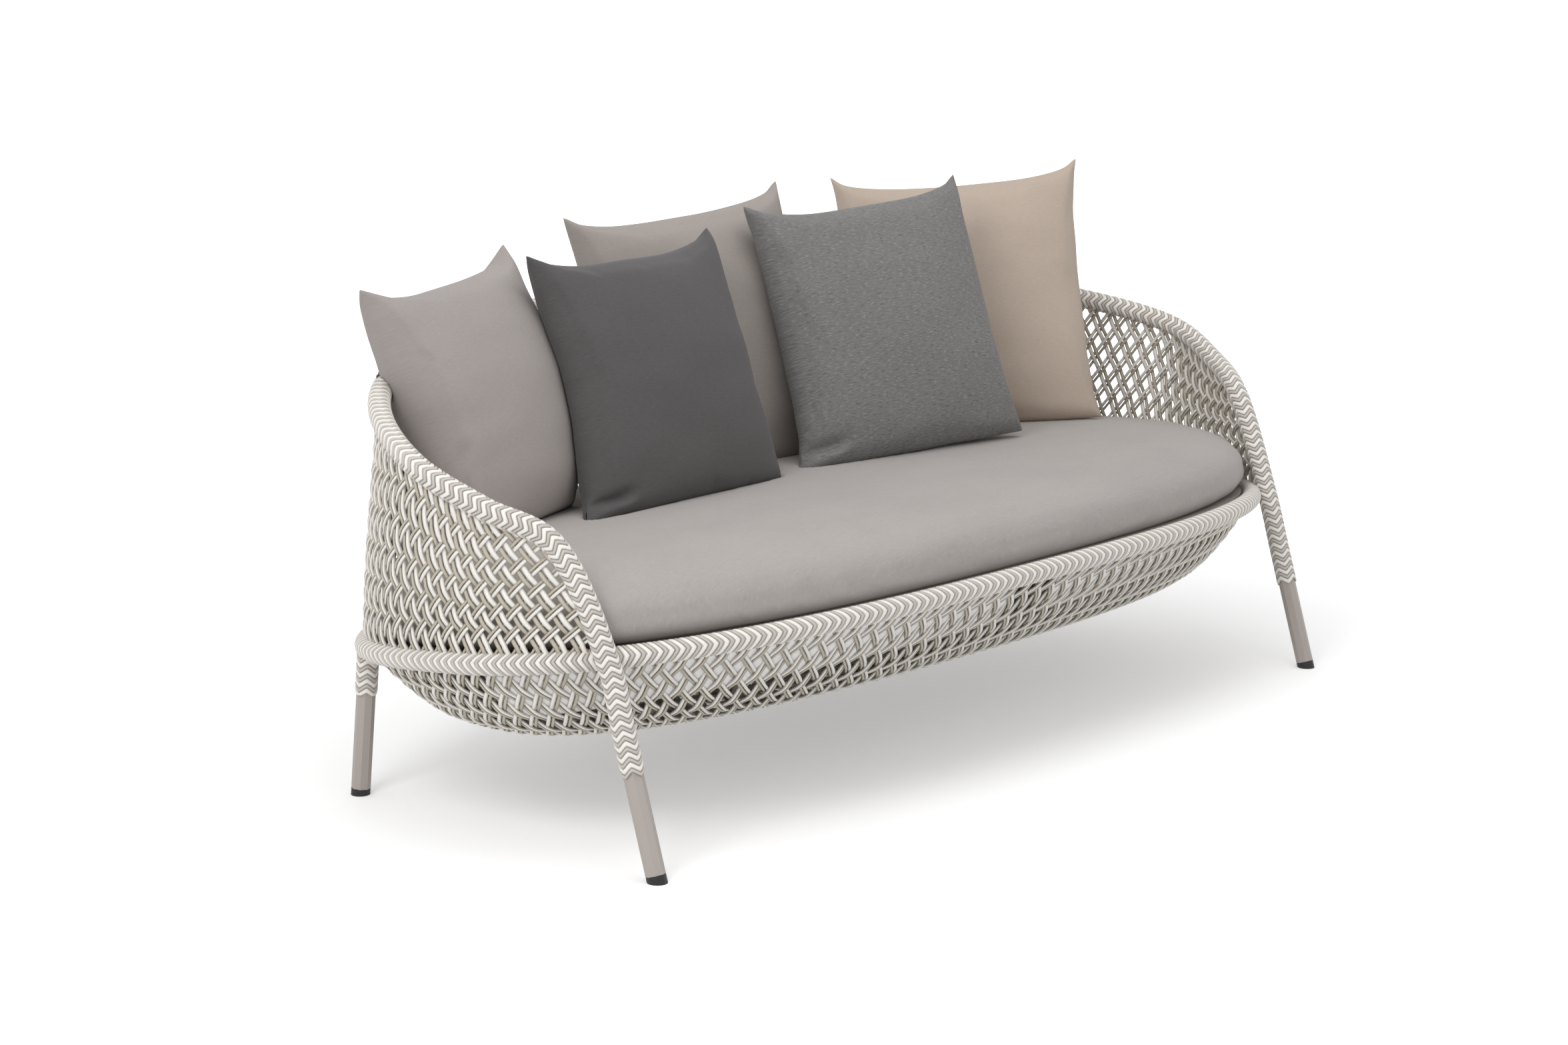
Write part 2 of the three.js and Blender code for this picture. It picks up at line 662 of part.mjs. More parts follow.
// The sling that carries the seat cushion, stretched inside the ring just over the rods
const slingInset = ringBraidOuter + touchGap;
const slingLift = rodRadius + touchGap;
const planOutline = (inset, columns) => {
  const loop = new FlatLoop({
    ...ringSizes, halfLength: ringHalfLength - inset, halfDepth: ringHalfDepth - inset,
  });
  return loop.getSpacedPoints(columns).slice(0, columns);
};

// A closed body from rings of points, with a middle point under the first and over the last
function stackGeometry(rings, bottom, top) {
  const columns = rings[0].length;
  const positions = [...rings.flat(), bottom, top].flatMap((point) => point.toArray());
  const faces = [];
  const at = (row, column) => row * columns + (column % columns);
  const bottomIndex = rings.length * columns;
  for (let column = 0; column < columns; column += 1) {
    for (let row = 0; row < rings.length - 1; row += 1) {
      faces.push(at(row, column), at(row, column + 1), at(row + 1, column + 1));
      faces.push(at(row, column), at(row + 1, column + 1), at(row + 1, column));
    }
    faces.push(bottomIndex, at(0, column + 1), at(0, column));
    faces.push(bottomIndex + 1, at(rings.length - 1, column), at(rings.length - 1, column + 1));
  }
  const geometry = new THREE.BufferGeometry();
  geometry.setAttribute('position', new THREE.Float32BufferAttribute(positions, 3));
  geometry.setIndex(faces);
  return geometry;
}

function makeSling() {
  const outline = planOutline(slingInset, seatColumns);
  const middle = new THREE.Vector3(0, 0, ringHeight);
  const raised = (lift) => outline.map((point) => point.clone().setZ(point.z + lift));
  const rings = [raised(slingLift), raised(slingLift + slingThickness)];
  const [bottom, top] = [slingLift, slingLift + slingThickness].map((lift) => (
    middle.clone().setZ(ringHeight + lift)
  ));
  addPart('seat_sling', stackGeometry(rings, bottom, top), finishes.sling);
}

// The seat cushion: a flat underside on the sling, rolled sides and a crowned top
function seatThicknessAt(y) {
  const share = (y + ringHalfDepth) / (2 * ringHalfDepth);
  return seatFrontThickness + (seatBackThickness - seatFrontThickness) * share;
}

// The lift makes the same shape as the room that a cushion resting on it needs
function seatCushionGeometry(lift) {
  const outline = planOutline(slingInset + seatCushionPlay, seatColumns);
  const base = slingLift + slingThickness + touchGap;
  const place = (point, [reach, rise]) => {
    const y = point.y * reach;
    return new THREE.Vector3(point.x * reach, y, ringHeightAt(y) + base + rise * (seatThicknessAt(y) + lift));
  };
  const rings = seatProfileShares.map((profile) => outline.map((point) => place(point, profile)));
  const middle = new THREE.Vector3();
  return stackGeometry(rings, place(middle, [0, 0]), place(middle, [0, 1]));
}

function makeSeatCushion() {
  const pressedBy = [frameClear, wallClear, ringClear, ...uprightClears];
  addPart('seat_cushion', pressed(seatCushionGeometry(0), ...pressedBy), finishes.seat);
}

// A scatter cushion: two crowned faces that meet in a thin edge, drawn in between pointed corners
function scatterGeometry(side, thickness) {
  const half = side / 2;
  const sideDraw = scatterSideDraw / half;
  const endDrawAt = (v) => (v > 0 ? scatterTopDraw : scatterBottomDraw) / half;
  const steps = Array.from({ length: scatterCells + 1 }, (_, step) => (2 * step) / scatterCells - 1);
  const positions = [];
  const index = { front: [], back: [] };
  for (const [face, sign] of [['front', -1], ['back', 1]]) {
    steps.forEach((v, row) => {
      index[face].push([]);
      steps.forEach((u, column) => {
        const edge = row === 0 || row === scatterCells || column === 0 || column === scatterCells;
        if (edge && face === 'back') {
          index.back[row].push(index.front[row][column]);
          return;
        }
        const swell = ((1 - u * u) * (1 - v * v)) ** scatterSwellShare;
        index[face][row].push(positions.length / 3);
        positions.push(
          half * u * (1 - sideDraw * (1 - v * v)),
          sign * (thickness / 2) * (edge ? 0 : swell),
          half * v * (1 - endDrawAt(v) * (1 - u * u)),
        );
      });
    });
  }
  const faces = [];
  for (let row = 0; row < scatterCells; row += 1) {
    for (let column = 0; column < scatterCells; column += 1) {
      for (const face of ['front', 'back']) {
        const cell = index[face];
        const [a, b, c, d] = [
          cell[row][column], cell[row][column + 1], cell[row + 1][column + 1], cell[row + 1][column],
        ];
        // Each corner of the cushion lies on a diagonal, so that its tip keeps some thickness
        const towardsTip = (row < scatterCells / 2) === (column < scatterCells / 2);
        const halves = towardsTip ? [[a, b, c], [a, c, d]] : [[a, b, d], [b, c, d]];
        for (const [first, second, third] of halves) {
          faces.push(...(face === 'front' ? [first, second, third] : [first, third, second]));
        }
      }
    }
  }
  const geometry = new THREE.BufferGeometry();
  geometry.setAttribute('position', new THREE.Float32BufferAttribute(positions, 3));
  geometry.setIndex(faces);
  return geometry;
}

function placed(geometry, { at, yaw, lean, roll }) {
  const [turn, tip, spin] = [yaw, -lean, -roll].map(THREE.MathUtils.degToRad);
  const rotation = new THREE.Quaternion().setFromEuler(new THREE.Euler(tip, spin, turn, 'ZXY'));
  const [x, y, z] = at;
  return geometry.applyQuaternion(rotation).translate(x * ringHalfLength, y * ringHalfDepth, z * rimHeight);
}

// Each scatter cushion is pressed flat where the seat, the rim or an earlier cushion touches it
function makeScatterCushions() {
  const pressedBy = [solidOf(seatCushionGeometry(touchGap)), frameClear, wallClear, ...uprightClears];
  for (const cushion of scatterShares) {
    const { name, finish, size } = cushion;
    const side = scatterSide * size;
    const shape = placed(scatterGeometry(side, scatterThickness), cushion);
    const room = placed(scatterGeometry(side + 2 * touchGap, scatterThickness + 4 * touchGap), cushion);
    addPart(`scatter_cushion_${name}`, pressed(shape, ...pressedBy), finishes[finish]);
    pressedBy.push(solidOf(room));
  }
}

makeFrame();
makeBackLegs();
makeGlides();
makeBraids();
makeWall();
makeBasket();
makeSeatRods();
makeSling();
makeSeatCushion();
makeScatterCushions();

export default sofa;
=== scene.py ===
# %% [markdown]
# # A woven garden sofa
# The sofa is a bent tube frame with a woven skin, a low woven basket under the seat, one seat
# cushion and five scatter cushions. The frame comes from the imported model. This file makes
# what a maker adds by hand: the wrapped tubes, the weave of flat cords and the sewn cushions.

# %% Load the frame
import math
import bpy
import numpy as np
from mathutils import Matrix, Vector, noise
from mathutils.bvhtree import BVHTree


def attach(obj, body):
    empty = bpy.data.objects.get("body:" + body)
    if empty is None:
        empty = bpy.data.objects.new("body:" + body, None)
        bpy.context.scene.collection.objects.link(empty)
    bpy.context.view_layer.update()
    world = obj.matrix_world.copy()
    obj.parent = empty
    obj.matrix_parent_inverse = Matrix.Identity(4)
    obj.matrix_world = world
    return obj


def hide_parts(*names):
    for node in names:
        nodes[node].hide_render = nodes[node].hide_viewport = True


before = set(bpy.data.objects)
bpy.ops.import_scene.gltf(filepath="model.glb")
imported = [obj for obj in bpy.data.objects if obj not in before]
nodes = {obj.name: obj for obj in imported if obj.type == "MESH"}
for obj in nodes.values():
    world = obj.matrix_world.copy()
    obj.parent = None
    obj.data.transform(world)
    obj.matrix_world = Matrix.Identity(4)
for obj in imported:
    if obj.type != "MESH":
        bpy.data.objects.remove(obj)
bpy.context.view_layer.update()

# %% [markdown]
# ## Camera, floor and light
# The camera stands where the photograph was taken: left of the sofa, a little above the
# cushions, with a long lens. The backdrop of such a photograph is plain white, so rays that
# go straight to the camera see white, and the sofa itself is lit by a soft grey sky and two
# wide lamps. The floor is pale and keeps the soft shadow under the basket.

# %% Camera
CAMERA_PLACE = (-4.33028, -3.75833, 1.56654)
LOOKS_DOWN, LOOKS_RIGHT = 11.8445, 48.0003
SENSOR_WIDTH, LENS = 36, 75.94

bpy.ops.object.select_all(action="DESELECT")
bpy.ops.object.camera_add(location=CAMERA_PLACE,
    rotation=(math.radians(90 - LOOKS_DOWN), 0, math.radians(-LOOKS_RIGHT)))
camera = bpy.context.object
camera.name = "photo_camera"
camera.data.sensor_width = SENSOR_WIDTH
camera.data.lens = LENS
bpy.context.scene.camera = camera
bpy.context.scene.view_settings.view_transform = "Standard"
print("camera at", np.round(camera.location, 2).tolist())


# %% Helpers for shader nodes
def new_material(name):
    """A node material that holds just its shader and output."""
    material = bpy.data.materials.new(name)
    material.use_nodes = True
    tree = material.node_tree
    return material, tree, tree.nodes["Principled BSDF"]


def add_node(tree, kind, links=(), **values):
    """A node with its settings; links are pairs of a socket to read and the input it feeds."""
    node = tree.nodes.new(kind)
    for key, value in values.items():
        if hasattr(node, key):
            setattr(node, key, value)
        else:
            node.inputs[key].default_value = value
    for source, target in links:
        tree.links.new(source, node.inputs[target])
    return node


def set_sockets(node, values):
    """Writes plain values to the inputs of a node."""
    for socket, value in values.items():
        node.inputs[socket].default_value = value


def math_node(tree, operation, first, second=None, third=None):
    """A Math node; each value is a socket or a number."""
    node = tree.nodes.new("ShaderNodeMath")
    node.operation = operation
    for index, value in enumerate((first, second, third)):
        if value is None:
            continue
        if isinstance(value, (int, float)):
            node.inputs[index].default_value = value
        else:
            tree.links.new(value, node.inputs[index])
    return node.outputs[0]


def ranged(tree, value, low, high, to_low=0.0, to_high=1.0, way="SMOOTHSTEP"):
    """Stretches the range from low to high into another one, 0 to 1 if none is given."""
    node = add_node(tree, "ShaderNodeMapRange", interpolation_type=way, links=[(value, 0)])
    set_sockets(node, {"From Min": low, "From Max": high, "To Min": to_low, "To Max": to_high})
    return node.outputs[0]


def sees_backdrop(tree):
    """1 for the rays that should find the white backdrop: camera, mirror and glass rays."""
    path = add_node(tree, "ShaderNodeLightPath").outputs
    seen = math_node(tree, "MAXIMUM", path["Is Camera Ray"], path["Is Glossy Ray"])
    return math_node(tree, "MAXIMUM", seen, path["Is Transmission Ray"])


# %% Sky and floor
SKY_LEVEL = 0.66
NEAR_GLOW, FAR_GLOW = 0.31, 1.0
NEAR_REACH, FAR_REACH = 1.1, 3.2
WHITE = (1, 1, 1, 1)
FLOOR_GREY = (0.88, 0.88, 0.885, 1)
FLOOR_SIZE = 60

world = bpy.data.worlds.new("studio")
bpy.context.scene.world = world
world.use_nodes = True
tree = world.node_tree
sky = tree.nodes["Background"]
sky.inputs["Color"].default_value = WHITE
sky_strength = ranged(tree, sees_backdrop(tree), 0, 1, SKY_LEVEL, 1, way="LINEAR")
tree.links.new(sky_strength, sky.inputs["Strength"])

bpy.ops.mesh.primitive_plane_add(size=FLOOR_SIZE)
floor = bpy.context.object
floor.name = "floor"
floor_paint, tree, shader = new_material("floor_paint")
set_sockets(shader, {
    "Base Color": FLOOR_GREY, "Roughness": 1, "Specular IOR Level": 0, "Emission Color": WHITE})
place = add_node(tree, "ShaderNodeTexCoord").outputs["Object"]
reach = add_node(tree, "ShaderNodeVectorMath", operation="LENGTH", links=[(place, 0)])
fade = ranged(tree, reach.outputs["Value"], NEAR_REACH, FAR_REACH, NEAR_GLOW, FAR_GLOW)
glow = math_node(tree, "MULTIPLY", sees_backdrop(tree), fade)
tree.links.new(glow, shader.inputs["Emission Strength"])
floor.data.materials.append(floor_paint)
print("the floor glows from", NEAR_GLOW, "near the sofa to", FAR_GLOW, "further off")

# %% Lamps
LAMPS = [
    ("overhead", (-0.3, -0.6, 3.2), (0, 0, 0.3), 2.0, 20),
    ("left", (-3.6, -0.9, 3.2), (0, 0, 0.3), 1.6, 52),
]
for name, place, target, size, power in LAMPS:
    bpy.ops.object.light_add(type="AREA", location=place)
    lamp = bpy.context.object
    lamp.name = name
    lamp.data.size = size
    lamp.data.energy = power
    lamp.rotation_euler = (Vector(target) - Vector(place)).to_track_quat("-Z", "Y").to_euler()
print("lamps:", [lamp[0] for lamp in LAMPS])

# %% [markdown]
# ## The curves that everything hangs on
# The seat ring is a flattened oval, lower at the back than at the front. One long tube makes
# both front legs and the rim. The maker bends these first and then lays cord over them, so
# the same curves are needed here. Each one is kept as many close points that are read by
# their distance along the curve, because a cord has a fixed pitch along the tube it wraps.


# %% Curves read by their length
class Line:
    """A curve as close points; a place on it is a distance from its start."""

    def __init__(self, points):
        """Measures how far along the curve each point lies."""
        self.points = np.asarray(points, float)
        steps = np.linalg.norm(np.diff(self.points, axis=0), axis=1)
        self.marks = np.concatenate([[0], np.cumsum(steps)])
        self.length = self.marks[-1]

    def at(self, distance):
        """The point at a distance from the start."""
        return np.stack([np.interp(distance, self.marks, axis) for axis in self.points.T], axis=-1)

    def direction(self, distance, reach=0.004):
        """The way the curve runs there, measured over a short reach to both sides."""
        middle = np.clip(distance, reach, self.length - reach)
        step = self.at(middle + reach) - self.at(middle - reach)
        return step / np.linalg.norm(step, axis=-1, keepdims=True)


def oval(angles, half_length, half_depth, roundness, shift=0.0, height=lambda y: 0 * y):
    """Points of a flattened oval: a roundness of 2 is an ellipse, and more is boxier."""
    across = np.abs(np.cos(angles) / half_length) ** roundness
    along = np.abs(np.sin(angles) / half_depth) ** roundness
    reach = (across + along) ** (-1 / roundness)
    y = reach * np.sin(angles) + shift
    return np.stack([reach * np.cos(angles), y, height(y)], axis=-1)


# %% The seat ring
RING_HALF_LENGTH, RING_HALF_DEPTH, RING_ROUNDNESS = 0.979, 0.445, 2.7
RING_HEIGHT, RING_LEAN = 0.296, 0.048
RING_TUBE, FRAME_TUBE = 0.015, 0.016


def ring_height(y):
    """The ring leans: it is higher in front than at the back."""
    return RING_HEIGHT - RING_LEAN * y / RING_HALF_DEPTH


full_turn = np.linspace(math.pi / 2, 5 * math.pi / 2, 6001)
ring = Line(oval(full_turn, RING_HALF_LENGTH, RING_HALF_DEPTH, RING_ROUNDNESS, height=ring_height))
print("ring, once round:", round(ring.length, 3), "m")

# %% The rim and the front legs
FRONT_JOINT_SHARE = 0.887
FRONT_LEG_RAKE = 0.1
GLIDE_DROP = 0.011
JOINT_OFFSET = FRAME_TUBE + RING_TUBE + 0.0003
RIM_HEIGHT = 0.745
RIM_KNOTS = [
    (0.935, -0.470, 0.677), (0.989, -0.262, 0.742), (1.016, 0.017, 0.816), (0.879, 0.543, 0.901),
    (0.609, 0.861, 0.967), (0.306, 0.972, 0.996), (0, 1, 1),
]

joint_depth = (1 - FRONT_JOINT_SHARE**RING_ROUNDNESS) ** (1 / RING_ROUNDNESS)
ring_joint = np.array([RING_HALF_LENGTH * FRONT_JOINT_SHARE, -RING_HALF_DEPTH * joint_depth, 0])
ring_joint[2] = ring_height(ring_joint[1])
outward = np.array([
    FRONT_JOINT_SHARE ** (RING_ROUNDNESS - 1) / RING_HALF_LENGTH,
    -(joint_depth ** (RING_ROUNDNESS - 1)) / RING_HALF_DEPTH, 0,
])
front_joint = ring_joint + JOINT_OFFSET * outward / np.linalg.norm(outward)
front_foot = np.array([front_joint[0], front_joint[1] - FRONT_LEG_RAKE, 0])
leg_axis = (front_joint - front_foot) / np.linalg.norm(front_joint - front_foot)
leg_start = front_foot + GLIDE_DROP * leg_axis

right_half = [leg_start + (front_joint - leg_start) * share for share in (0, 1 / 3, 2 / 3, 1)]
right_half += [np.array(k) * (RING_HALF_LENGTH, RING_HALF_DEPTH, RIM_HEIGHT) for k in RIM_KNOTS]
knots = np.array(right_half + [p * (-1, 1, 1) for p in right_half[-2::-1]])


def smooth_through(knots, samples=160):
    """The bent line through the knots, each stretch paced by the root of its length."""
    padded = np.vstack([2 * knots[0] - knots[1], knots, 2 * knots[-1] - knots[-2]])
    points = []
    for a, b, c, d in zip(padded, padded[1:], padded[2:], padded[3:]):
        first, middle, last = (np.linalg.norm(q - p) ** 0.5 for p, q in ((a, b), (b, c), (c, d)))
        start = ((b - a) / first - (c - a) / (first + middle) + (c - b) / middle) * middle
        end = ((c - b) / middle - (d - b) / (middle + last) + (d - c) / last) * middle
        t = np.linspace(0, 1, samples, endpoint=False)[:, None]
        bend = -3 * b + 3 * c - 2 * start - end
        points.append(b + start * t + bend * t**2 + (2 * b - 2 * c + start + end) * t**3)
    return Line(np.vstack(points + [knots[-1:]]))


rim = smooth_through(knots)
leg_length = float(np.linalg.norm(front_joint - leg_start))
print("rim with its legs:", round(rim.length, 3), "m, each leg", round(leg_length, 3), "m")

# %% [markdown]
# ## Skins for the weave
# The weave is a flat cloth of cords laid over a curved skin. Each skin is a fan of lines: the
# wall's lines rise from the ring to the rim, and the basket's lines fall from the ring and
# round under to the floor. A point of the flat cloth is a distance round the ring, a distance
# along the line there, and a height off the skin. So one flat pattern dresses both, and the
# cords meet at the ring as they do on the real sofa, where they run on round the tube.


# %% A skin made of lines
class Skin:
    """Points on a fan of lines: x is a distance round the ring, y along the line, z off it."""

    def __init__(self, start, end, columns, line_at, rows):
        """Reads the lines at even steps into a grid of points and a grid of normals."""
        self.start, self.end = start, end
        lines = [line_at(x) for x in np.linspace(start, end, columns)]
        self.lengths = np.array([line.length for line in lines])
        shares = np.linspace(0, 1, rows + 1)
        self.grid = np.array([line.at(shares * line.length) for line in lines])
        along = np.gradient(self.grid, axis=0)
        down = np.gradient(self.grid, axis=1)
        normals = np.cross(along, down)
        normals /= np.linalg.norm(normals, axis=-1, keepdims=True)
        middle = self.grid[:, 0, :2] * normals[:, 0, :2]
        self.normals = normals * np.sign(middle.sum())

    def column(self, x):
        """The place of a line among the lines of the grid."""
        return (x - self.start) / (self.end - self.start) * (len(self.lengths) - 1)

    def length_at(self, x):
        """How long the line is there."""
        return np.interp(self.column(x), np.arange(len(self.lengths)), self.lengths)

    def place(self, flat):
        """Lays points of the flat cloth on the skin."""
        columns, rows = self.grid.shape[:2]
        u = np.clip(self.column(flat[:, 0]), 0, columns - 1.001)
        v = np.clip(flat[:, 1] / self.length_at(flat[:, 0]), 0, 1) * (rows - 1)
        i, j = u.astype(int), np.minimum(v.astype(int), rows - 2)
        a, b = (u - i)[:, None], (v - j)[:, None]

        def blend(table):
            """The value between the four nearest points of the grid."""
            near = table[i, j] * (1 - b) + table[i, j + 1] * b
            far = table[i + 1, j] * (1 - b) + table[i + 1, j + 1] * b
            return near * (1 - a) + far * a

        return blend(self.grid) + flat[:, 2:] * blend(self.normals)


# %% The wall's skin
WALL_BELLY = 0.045
BELLY_POWER = 6

joint_angle = math.atan2(ring_joint[1], ring_joint[0])
wall_turn = np.linspace(joint_angle, math.pi - joint_angle, 4001)
wall_foot = Line(oval(wall_turn, RING_HALF_LENGTH, RING_HALF_DEPTH, RING_ROUNDNESS,
    height=ring_height))
half_wall = wall_foot.length / 2


def wall_line(x):
    """The line of the wall a distance left of the middle of the back; its ends belly out."""
    share = 0.5 + x / wall_foot.length
    foot = wall_foot.at(share * wall_foot.length)
    top = rim.at(leg_length + (rim.length - 2 * leg_length) * share)
    belly = WALL_BELLY * np.linalg.norm(top - foot) * (foot[0] / RING_HALF_LENGTH) ** BELLY_POWER
    t = np.linspace(0, 1, 13)[:, None]
    bend = 4 * t * (1 - t) * belly * np.sign(foot[0])
    return Line(foot + (top - foot) * t + bend * (1, 0, 0))


wall_skin = Skin(-half_wall, half_wall, columns=801, line_at=wall_line, rows=12)
print("wall:", round(2 * half_wall, 3), "m round, up to", round(wall_skin.lengths.max(), 3), "m high")

# %% The basket's skin
BASKET_HALF_LENGTH, BASKET_HALF_DEPTH, BASKET_ROUNDNESS = 0.918, 0.310, 2.57
BASKET_SHIFT, BASKET_FLOOR, BASKET_EDGE_ROUND = -0.022, 0.170, 0.074


def basket_loop(inset):
    """An oval on the basket's floor, that far inside its edge."""
    half_length, half_depth = BASKET_HALF_LENGTH - inset, BASKET_HALF_DEPTH - inset
    points = oval(full_turn, half_length, half_depth, BASKET_ROUNDNESS, BASKET_SHIFT)
    points[:, 2] = BASKET_FLOOR
    return Line(points)


basket_edge, basket_under = basket_loop(0), basket_loop(BASKET_EDGE_ROUND)


def basket_line(x):
    """The line of the basket side, a distance round the ring from the middle of the back."""
    share = (x / ring.length) % 1
    top, corner, end = (line.at(share * line.length) for line in (ring, basket_edge, basket_under))
    t = np.linspace(0, 1, 41)[:, None]
    middle, rest = (top + corner) / 2, 1 - t
    return Line(rest**3 * top + 3 * t * rest**2 * middle + 3 * t**2 * rest * corner + t**3 * end)


basket_skin = Skin(0, ring.length, columns=1201, line_at=basket_line, rows=24)
print("basket side:", np.round([basket_skin.lengths.min(), basket_skin.lengths.max()], 3), "m deep")

# %% [markdown]
# ## Finishes
# Every finish is made of shader nodes. What more than one finish needs is a shared group, and
# there are three: for flat cords, for bare tubes and feet, and for woven cloth. Each is built
# where it is first needed. The one for cords comes first. It draws the fine ribs of a flat cord
# and paints shade on its two sides, from numbers that each cord carries along with its mesh.


# %% Helpers for shared groups
def new_group(name, inputs, outputs):
    """An empty shared group with named sockets, and its input and output nodes."""
    tree = bpy.data.node_groups.new(name, "ShaderNodeTree")
    for socket, value in inputs.items():
        kind = "NodeSocketColor" if isinstance(value, tuple) else "NodeSocketFloat"
        made = tree.interface.new_socket(socket, in_out="INPUT", socket_type=kind)
        made.default_value = value
    for socket in outputs:
        kind = "NodeSocketColor" if socket == "Colour" else "NodeSocketFloat"
        tree.interface.new_socket(socket, in_out="OUTPUT", socket_type=kind)
    return tree, tree.nodes.new("NodeGroupInput"), tree.nodes.new("NodeGroupOutput")


def put_out(tree, target, **values):
    """Links each value to the group's output of that name."""
    for name, value in values.items():
        tree.links.new(value, target.inputs[name])


def mix_colour(tree, factor, first, second):
    """Mixes two colours; each of them is a socket or a plain value."""
    node = tree.nodes.new("ShaderNodeMix")
    node.data_type = "RGBA"
    for index, value in ((0, factor), (6, first), (7, second)):
        if isinstance(value, (int, float, tuple)):
            node.inputs[index].default_value = value
        else:
            tree.links.new(value, node.inputs[index])
    return node.outputs[2]


def object_noise(tree, links=(), **values):
    """A noise that keeps its place on the object."""
    place = add_node(tree, "ShaderNodeTexCoord").outputs["Object"]
    noise_node = add_node(tree, "ShaderNodeTexNoise", links=[(place, "Vector"), *links], **values)
    return noise_node.outputs[0]


def uneven(tree, colour, clouds, variation):
    """A colour that is a little lighter and darker from place to place."""
    base = math_node(tree, "SUBTRACT", 1.0, math_node(tree, "MULTIPLY", variation, 0.5))
    value = math_node(tree, "MULTIPLY_ADD", clouds, variation, base)
    shifted = add_node(tree, "ShaderNodeHueSaturation", links=[(value, "Value"), (colour, "Color")])
    return shifted.outputs[0]


# %% A shared group for cords
RIB_WAVES = 15.7
TICK_WAVES, TICK_SLANT, TICK_HEIGHT = 2094, 4, 0.25
SHADE_FROM = 0.4

cord_group, cord_in, cord_out = new_group(
    "cord_ribs",
    {"Colour": (0.8, 0.8, 0.8, 1), "Side colour": (0.4, 0.4, 0.4, 1), "Side": 0.5, "Variation": 0.1},
    ["Colour", "Height", "Roughness"],
)
given = cord_in.outputs
lay = add_node(cord_group, "ShaderNodeAttribute", attribute_name="lay").outputs["Vector"]
along, across, _ = add_node(cord_group, "ShaderNodeSeparateXYZ", links=[(lay, 0)]).outputs
ribs = math_node(cord_group, "SINE", math_node(cord_group, "MULTIPLY", across, RIB_WAVES))
slant = math_node(cord_group, "MULTIPLY", across, TICK_SLANT)
ticks = math_node(cord_group, "SINE", math_node(cord_group, "MULTIPLY_ADD", along, TICK_WAVES, slant))
clouds = object_noise(cord_group, Scale=38.0, Detail=3.0)
# Painted shade: towards both sides of a cord the colour goes over to the shade colour, as if the cord were
# round and turned from the light.
side = ranged(cord_group, math_node(cord_group, "ABSOLUTE", across), SHADE_FROM, 1)
side = math_node(cord_group, "MULTIPLY", side, given["Side"])
lit = mix_colour(cord_group, side, given["Colour"], given["Side colour"])
put_out(cord_group, cord_out,
    Height=math_node(cord_group, "MULTIPLY_ADD", ticks, TICK_HEIGHT, ribs),
    Colour=uneven(cord_group, lit, clouds, given["Variation"]),
    Roughness=math_node(cord_group, "MULTIPLY_ADD", clouds, 0.2, 0.4))
print("group", cord_group.name, "has", len(cord_group.nodes), "nodes")


# %% A material from a group
def linear(red, green, blue):
    """A colour as it looks, turned into the light that the shader counts in."""
    return tuple(c / 12.92 if c <= 0.04045 else ((c + 0.055) / 1.055) ** 2.4
        for c in (red, green, blue)) + (1,)


def grouped_material(name, group, strength, relief, **values):
    """A material that takes its colour, roughness and relief from a shared group."""
    material, tree, shader = new_material(name)
    paint = tree.nodes.new("ShaderNodeGroup")
    paint.node_tree = group
    set_sockets(paint, {key.replace("_", " "): value for key, value in values.items()})
    tree.links.new(paint.outputs["Colour"], shader.inputs["Base Color"])
    if "Roughness" in paint.outputs:
        tree.links.new(paint.outputs["Roughness"], shader.inputs["Roughness"])
    bump = add_node(tree, "ShaderNodeBump", links=[(paint.outputs["Height"], "Height")])
    set_sockets(bump, {"Strength": strength, "Distance": relief})
    tree.links.new(bump.outputs[0], shader.inputs["Normal"])
    return material, tree, shader, paint


# %% Cord colours
RIB_STRENGTH, RIB_RELIEF = 0.35, 0.0003
CORD_VARIATION = 0.12


def cord_material(name, colour, shade_colour, side=0.6):
    """A flat cord in one colour, with shade painted on its two sides."""
    return grouped_material(name, cord_group, RIB_STRENGTH, RIB_RELIEF, Colour=linear(*colour),
        Side_colour=linear(*shade_colour), Side=side, Variation=CORD_VARIATION)[0]


# Each cord's second colour is its painted shade, and side is how far its sides go over to it.
white_cord = cord_material("white_cord", (0.97, 0.957, 0.935), (0.55, 0.51, 0.44))
cream_cord = cord_material("cream_cord", (0.77, 0.74, 0.68), (0.36, 0.325, 0.265), side=0.8)
grey_cord = cord_material("grey_cord", (0.80, 0.775, 0.745), (0.46, 0.43, 0.40))
print("cords:", [m.name for m in (white_cord, cream_cord, grey_cord)])

# %% [markdown]
# ## Bare tubes and feet
# The tubes are powder coated, and the feet are moulded plastic. One plain colour would look
# like wax up close, so a shared group adds a fine grain and a few dusty patches, and each
# finish gives it a colour and the size of the grain.

# %% A shared group for smooth hard parts
hard_group, hard_in, hard_out = new_group(
    "fine_skin",
    {"Colour": (0.5, 0.5, 0.5, 1), "Grain scale": 900.0, "Variation": 0.08},
    ["Colour", "Height", "Roughness"],
)
given = hard_in.outputs
grain = object_noise(hard_group, Detail=2.0, links=[(given["Grain scale"], "Scale")])
dust = object_noise(hard_group, Scale=14.0, Detail=4.0)
put_out(hard_group, hard_out,
    Height=grain,
    Colour=uneven(hard_group, given["Colour"], dust, given["Variation"]),
    Roughness=math_node(hard_group, "MULTIPLY_ADD", dust, 0.25, 0.38))
print("group", hard_group.name, "has", len(hard_group.nodes), "nodes")

# %% Finish the bare tubes, rods and feet
GRAIN_RELIEF = 0.0002


def hard_material(name, colour, grain_scale, strength):
    """Powder coat or moulded plastic: one colour, a fine grain and a little dust."""
    return grouped_material(name, hard_group, strength, GRAIN_RELIEF,
        Colour=linear(*colour), Grain_scale=grain_scale)[0]


